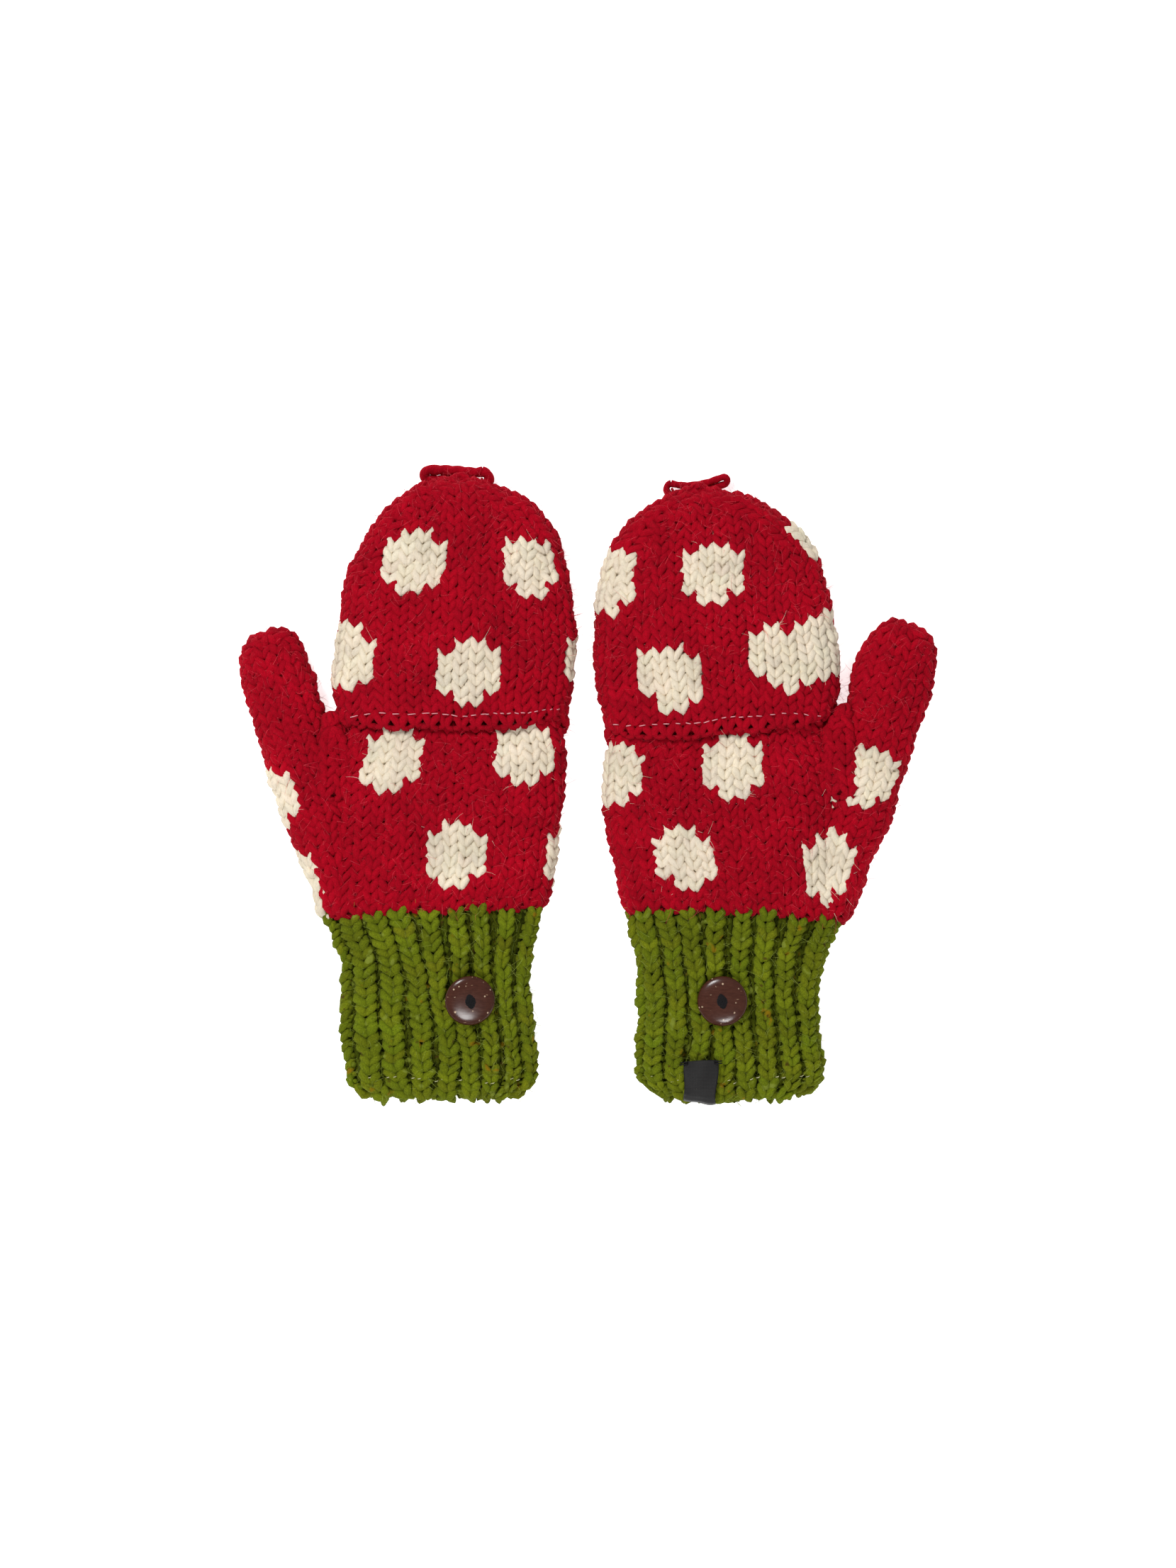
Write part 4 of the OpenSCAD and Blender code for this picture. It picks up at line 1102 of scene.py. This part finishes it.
def button_loop(side, spec):
    """The knitted loop at the tip, two strands side by side, and the thread that holds it."""
    x, y, z = spec["loop_at"]
    way = math.radians(spec["loop_way"])
    facing = 1 if math.cos(way) > 0 else -1
    reach = 20.8
    s_at, gap, rise = (np.array(column, float) for column in zip(*spec["loop_line"]))
    s = np.linspace(0, reach, 30)
    h, up = np.interp(s, s_at, gap), np.interp(s, s_at, rise)
    turn = np.linspace(0, math.pi, 14)[1:-1]
    sides = [np.stack([s, h, up], -1),
             np.stack([reach + h[-1] * np.sin(turn), h[-1] * np.cos(turn), up[-1] * np.cos(turn)], -1),
             np.stack([s, -h, -0.4 * up], -1)[::-1],
             np.stack([-h[0] * np.sin(turn), -h[0] * np.cos(turn), np.zeros(len(turn))], -1)]
    line = np.concatenate(sides)
    line[:, 1] += spec["loop_bow"] * np.sin(math.pi * np.clip(line[:, 0] / reach, 0, 1))
    line[:, 1] *= facing
    c, sn = math.cos(way), math.sin(way)
    line = np.stack([x + line[:, 0] * c - line[:, 1] * sn, y + line[:, 0] * sn + line[:, 1] * c,
                     z + line[:, 2]], -1)
    line = resampled(np.concatenate([line, line[:1]]), 0.6)[:-1]
    yarn = Yarn()
    rope(yarn, line, always(UP, len(line)), spec["loop_cord"] / 2, RED, pitch=9.0, sides=16, lobe=0.16,
         closed=True)
    finish_piece(yarn, f"{side}_loop_knit", "red_wool", [f"{side}_loop"], f"{side}_button_loop", still=True)

    into = np.array([*spec["loop_into"], 0.0])
    thread_r = 0.46
    over = UP * (spec["loop_cord"] / 2 + 2 * thread_r)
    under = UP * min(over[2], z - thread_r - 0.05)
    at = np.array([x, y, z])
    line = resampled(np.array([at + into + over, at + over, at - under, at + into - under]), 0.35)
    yarn = Yarn()
    aside = unit(np.array([-into[1], into[0], 0.0]))
    rope(yarn, line, always(aside, len(line)), thread_r, RED, pitch=2.4, sides=9)
    finish_piece(yarn, f"{side}_loop_thread", "red_wool", [f"{side}_loop_staple"], f"{side}_flap_top",
                 still=True)


# Radius and height from the rim of the flat top, over the dome, to the rim of the underside.
BUTTON_PROFILE = [(2, 3.09), (4, 3.02), (6, 2.84), (7.2, 2.64), (8, 2.43), (8.7, 2.16), (9.2, 1.86),
                  (9.6, 1.5), (9.85, 1.15), (9.9, 0.85), (9.75, 0.5), (9.3, 0.2), (8.6, 0.04), (7.5, 0)]
SLOT_WAY = math.radians(103)


def button(side, spec):
    """A polished disc with a domed top, and the bundle of dark thread between its two holes."""
    place = np.array(spec["button_at"])
    a, b = (math.radians(v) for v in spec["button_tilt"])
    tip = np.array([[1, 0, 0], [0, math.cos(a), -math.sin(a)], [0, math.sin(a), math.cos(a)]])
    roll = np.array([[math.cos(b), 0, math.sin(b)], [0, 1, 0], [-math.sin(b), 0, math.cos(b)]])
    tilt = roll @ tip
    segments = 96
    r, z = np.array(BUTTON_PROFILE).T
    turn = np.linspace(0, 2 * math.pi, segments, endpoint=False)
    co = np.stack([r[:, None] * np.cos(turn), r[:, None] * np.sin(turn),
                   np.broadcast_to(z[:, None], (len(r), segments))], -1).reshape(-1, 3)
    quads, caps = tube_faces(len(r), segments)
    yarn = Yarn()
    uv = np.stack([co[:, 0], co[:, 1] + 30 * (co[:, 2] < 1)], -1)
    yarn.add(co @ tilt.T + place, co, np.zeros((1, 3)), uv, quads[:, ::-1], [cap[::-1] for cap in caps])
    finish_piece(yarn, f"{side}_coconut_button", "coconut_shell", [f"{side}_button"], f"{side}_glove",
                 stiff=True)

    yarn = Yarn()
    along = np.array([math.cos(SLOT_WAY), math.sin(SLOT_WAY), 0])
    aside = np.array([-along[1], along[0], 0])
    for strand in np.linspace(-1, 1, 7):
        reach = 3.3 * math.sqrt(1 - 0.75 * strand**2)
        k = np.linspace(-1, 1, 15)[:, None]
        line = along * k * reach + aside * strand * (1.75 - 0.5 * k**2) \
            + UP * (3.35 - 0.3 * strand**2 - 2.2 * k**10)
        rope(yarn, line @ tilt.T + place, always(tilt[:, 2], 15), 0.36, BLACK, pitch=1.8, sides=8)
    for end in (-1, 1):
        post = np.array([along * end * 1.7 + UP * h for h in np.linspace(-2.6, 2.4, 9)])
        rope(yarn, post @ tilt.T + place, always(tilt[:, 0], 9), 0.75, BLACK, pitch=2.0, sides=10)
    finish_piece(yarn, f"{side}_button_strands", "button_thread", [f"{side}_button_thread"],
                 f"{side}_glove", stiff=True)


def label(side):
    """The ribbon folded round the cuff's edge, and the stitches at its top corners."""
    middle, width, thick = 44.6, 12.8, 0.5
    fold = np.array([(-109.3, 23.1), (-113, 23.3), (-117, 23.2), (-121.5, 22.9), (-124.8, 22.1),
                     (-126.6, 20.3), (-127.3, 17.6), (-127.2, 15), (-126.2, 13.2), (-124.5, 12.7),
                     (-122.6, 12.7)])
    fold = resampled(np.concatenate([np.zeros((len(fold), 1)), fold], axis=1), 0.6)
    ahead = unit(np.gradient(fold, axis=0))
    out = np.cross(ahead, np.array([1.0, 0, 0]))
    out = out * np.sign(out[0, 2])
    u = np.linspace(-1, 1, 23)
    far = np.linspace(0, 1, len(fold))[:, None]
    ripple = 0.18 * np.sin(4.2 * u[None, :] + 7 * far) - 0.25 * u[None, :] ** 4
    grid = fold[:, None, :] + out[:, None, :] * ripple[..., None]
    grid[..., 0] = middle + u[None, :] * width / 2 * (1 + 0.02 * np.sin(9 * far))
    half = out[:, None, :] * thick / 2
    co, quads = shell(grid + half, grid - half)
    uv = np.stack(np.broadcast_arrays(u * width / 2, far * 30), -1).reshape(-1, 2)
    yarn = Yarn()
    yarn.add(co, co, np.zeros((1, 3)), np.concatenate([uv, uv + np.array([20.0, 0])]), quads, [])
    piece = finish_piece(yarn, f"{side}_label_ribbon", "satin_label", [f"{side}_label"], f"{side}_glove")

    yarn = Yarn()
    k = np.linspace(-1, 1, 11)[:, None]
    for end in (-1, 1):
        for drop in (0.0, 0.8):
            line = np.array([middle + end * (width / 2 - 0.2), -109.7 - drop, 23.9]) \
                + k * np.array([1.5, 0.15, 0]) - UP * 1.2 * k**4
            rope(yarn, line, always(UP, 11), 0.28, BLACK, pitch=1.6, sides=7)
    finish_piece(yarn, f"{side}_label_thread", "button_thread", [f"{side}_label_stitches"], f"{side}_glove")


# ---------------------------------------------------------------- the stage
def linked(name, data, place):
    made = bpy.data.objects.new(name, data)
    made.location = place
    bpy.context.scene.collection.objects.link(made)
    return made


def lamp(name, place, size, watts):
    """A round soft lamp aimed at the middle of the floor."""
    data = bpy.data.lights.new(name, "AREA")
    data.shape, data.size, data.energy = "DISK", size, watts
    linked(name, data, place).rotation_euler = (-Vector(place)).to_track_quat("-Z", "Y").to_euler()


def stage():
    """Camera straight above, soft light all round, and a plain pale floor."""
    scene = bpy.context.scene
    scene.view_settings.view_transform = "Standard"
    camera = bpy.data.cameras.new("camera")
    camera.sensor_fit = "VERTICAL"
    camera.sensor_height = 36.0
    camera.lens = 135.0
    frame_height, middle_height = 0.6194, 0.020
    scene.camera = linked("camera", camera,
                          (0, 0, frame_height * camera.lens / camera.sensor_height + middle_height))

    lamp("key", (0.1, -1.25, 1.5), 0.6, 18)
    lamp("fill", (-0.7, 1.0, 1.4), 0.6, 23)
    scene.world = bpy.data.worlds.new("studio")
    scene.world.use_nodes = True
    background = scene.world.node_tree.nodes["Background"].inputs
    background["Color"].default_value = (1, 1, 1, 1)
    background["Strength"].default_value = 0.36

    s = Shader("floor")
    grain = s.noise(s.place, Scale=40.0, Detail=4.0)
    material = s.finish(s.ramp(grain, (0.3, 0.9), (0.7, 0.92)), None, 0.9, None,
                        Emission_Color=(1, 1, 1), Emission_Strength=0.75)
    half = 6.0
    mesh = bpy.data.meshes.new("floor")
    corners = [(-half, -half, 0), (half, -half, 0), (half, half, 0), (-half, half, 0)]
    mesh.from_pydata(corners, [], [(0, 1, 2, 3)])
    mesh.materials.append(material)
    linked("floor", mesh, (0, 0, cad_box[0][2] - 0.0004))


stage()
for side, spec in SIDES.items():
    flap_tube, crossing = flap_and_fold(side, spec)
    hand_tube = hand_and_thumb(side, spec)
    sleeves(side, spec, hand_tube)
    cuff_tube = cuff(side, spec)
    seam(side, spec, flap_tube, crossing)
    lining_stitches(side, spec, cuff_tube)
    button_loop(side, spec)
    button(side, spec)
label("left")
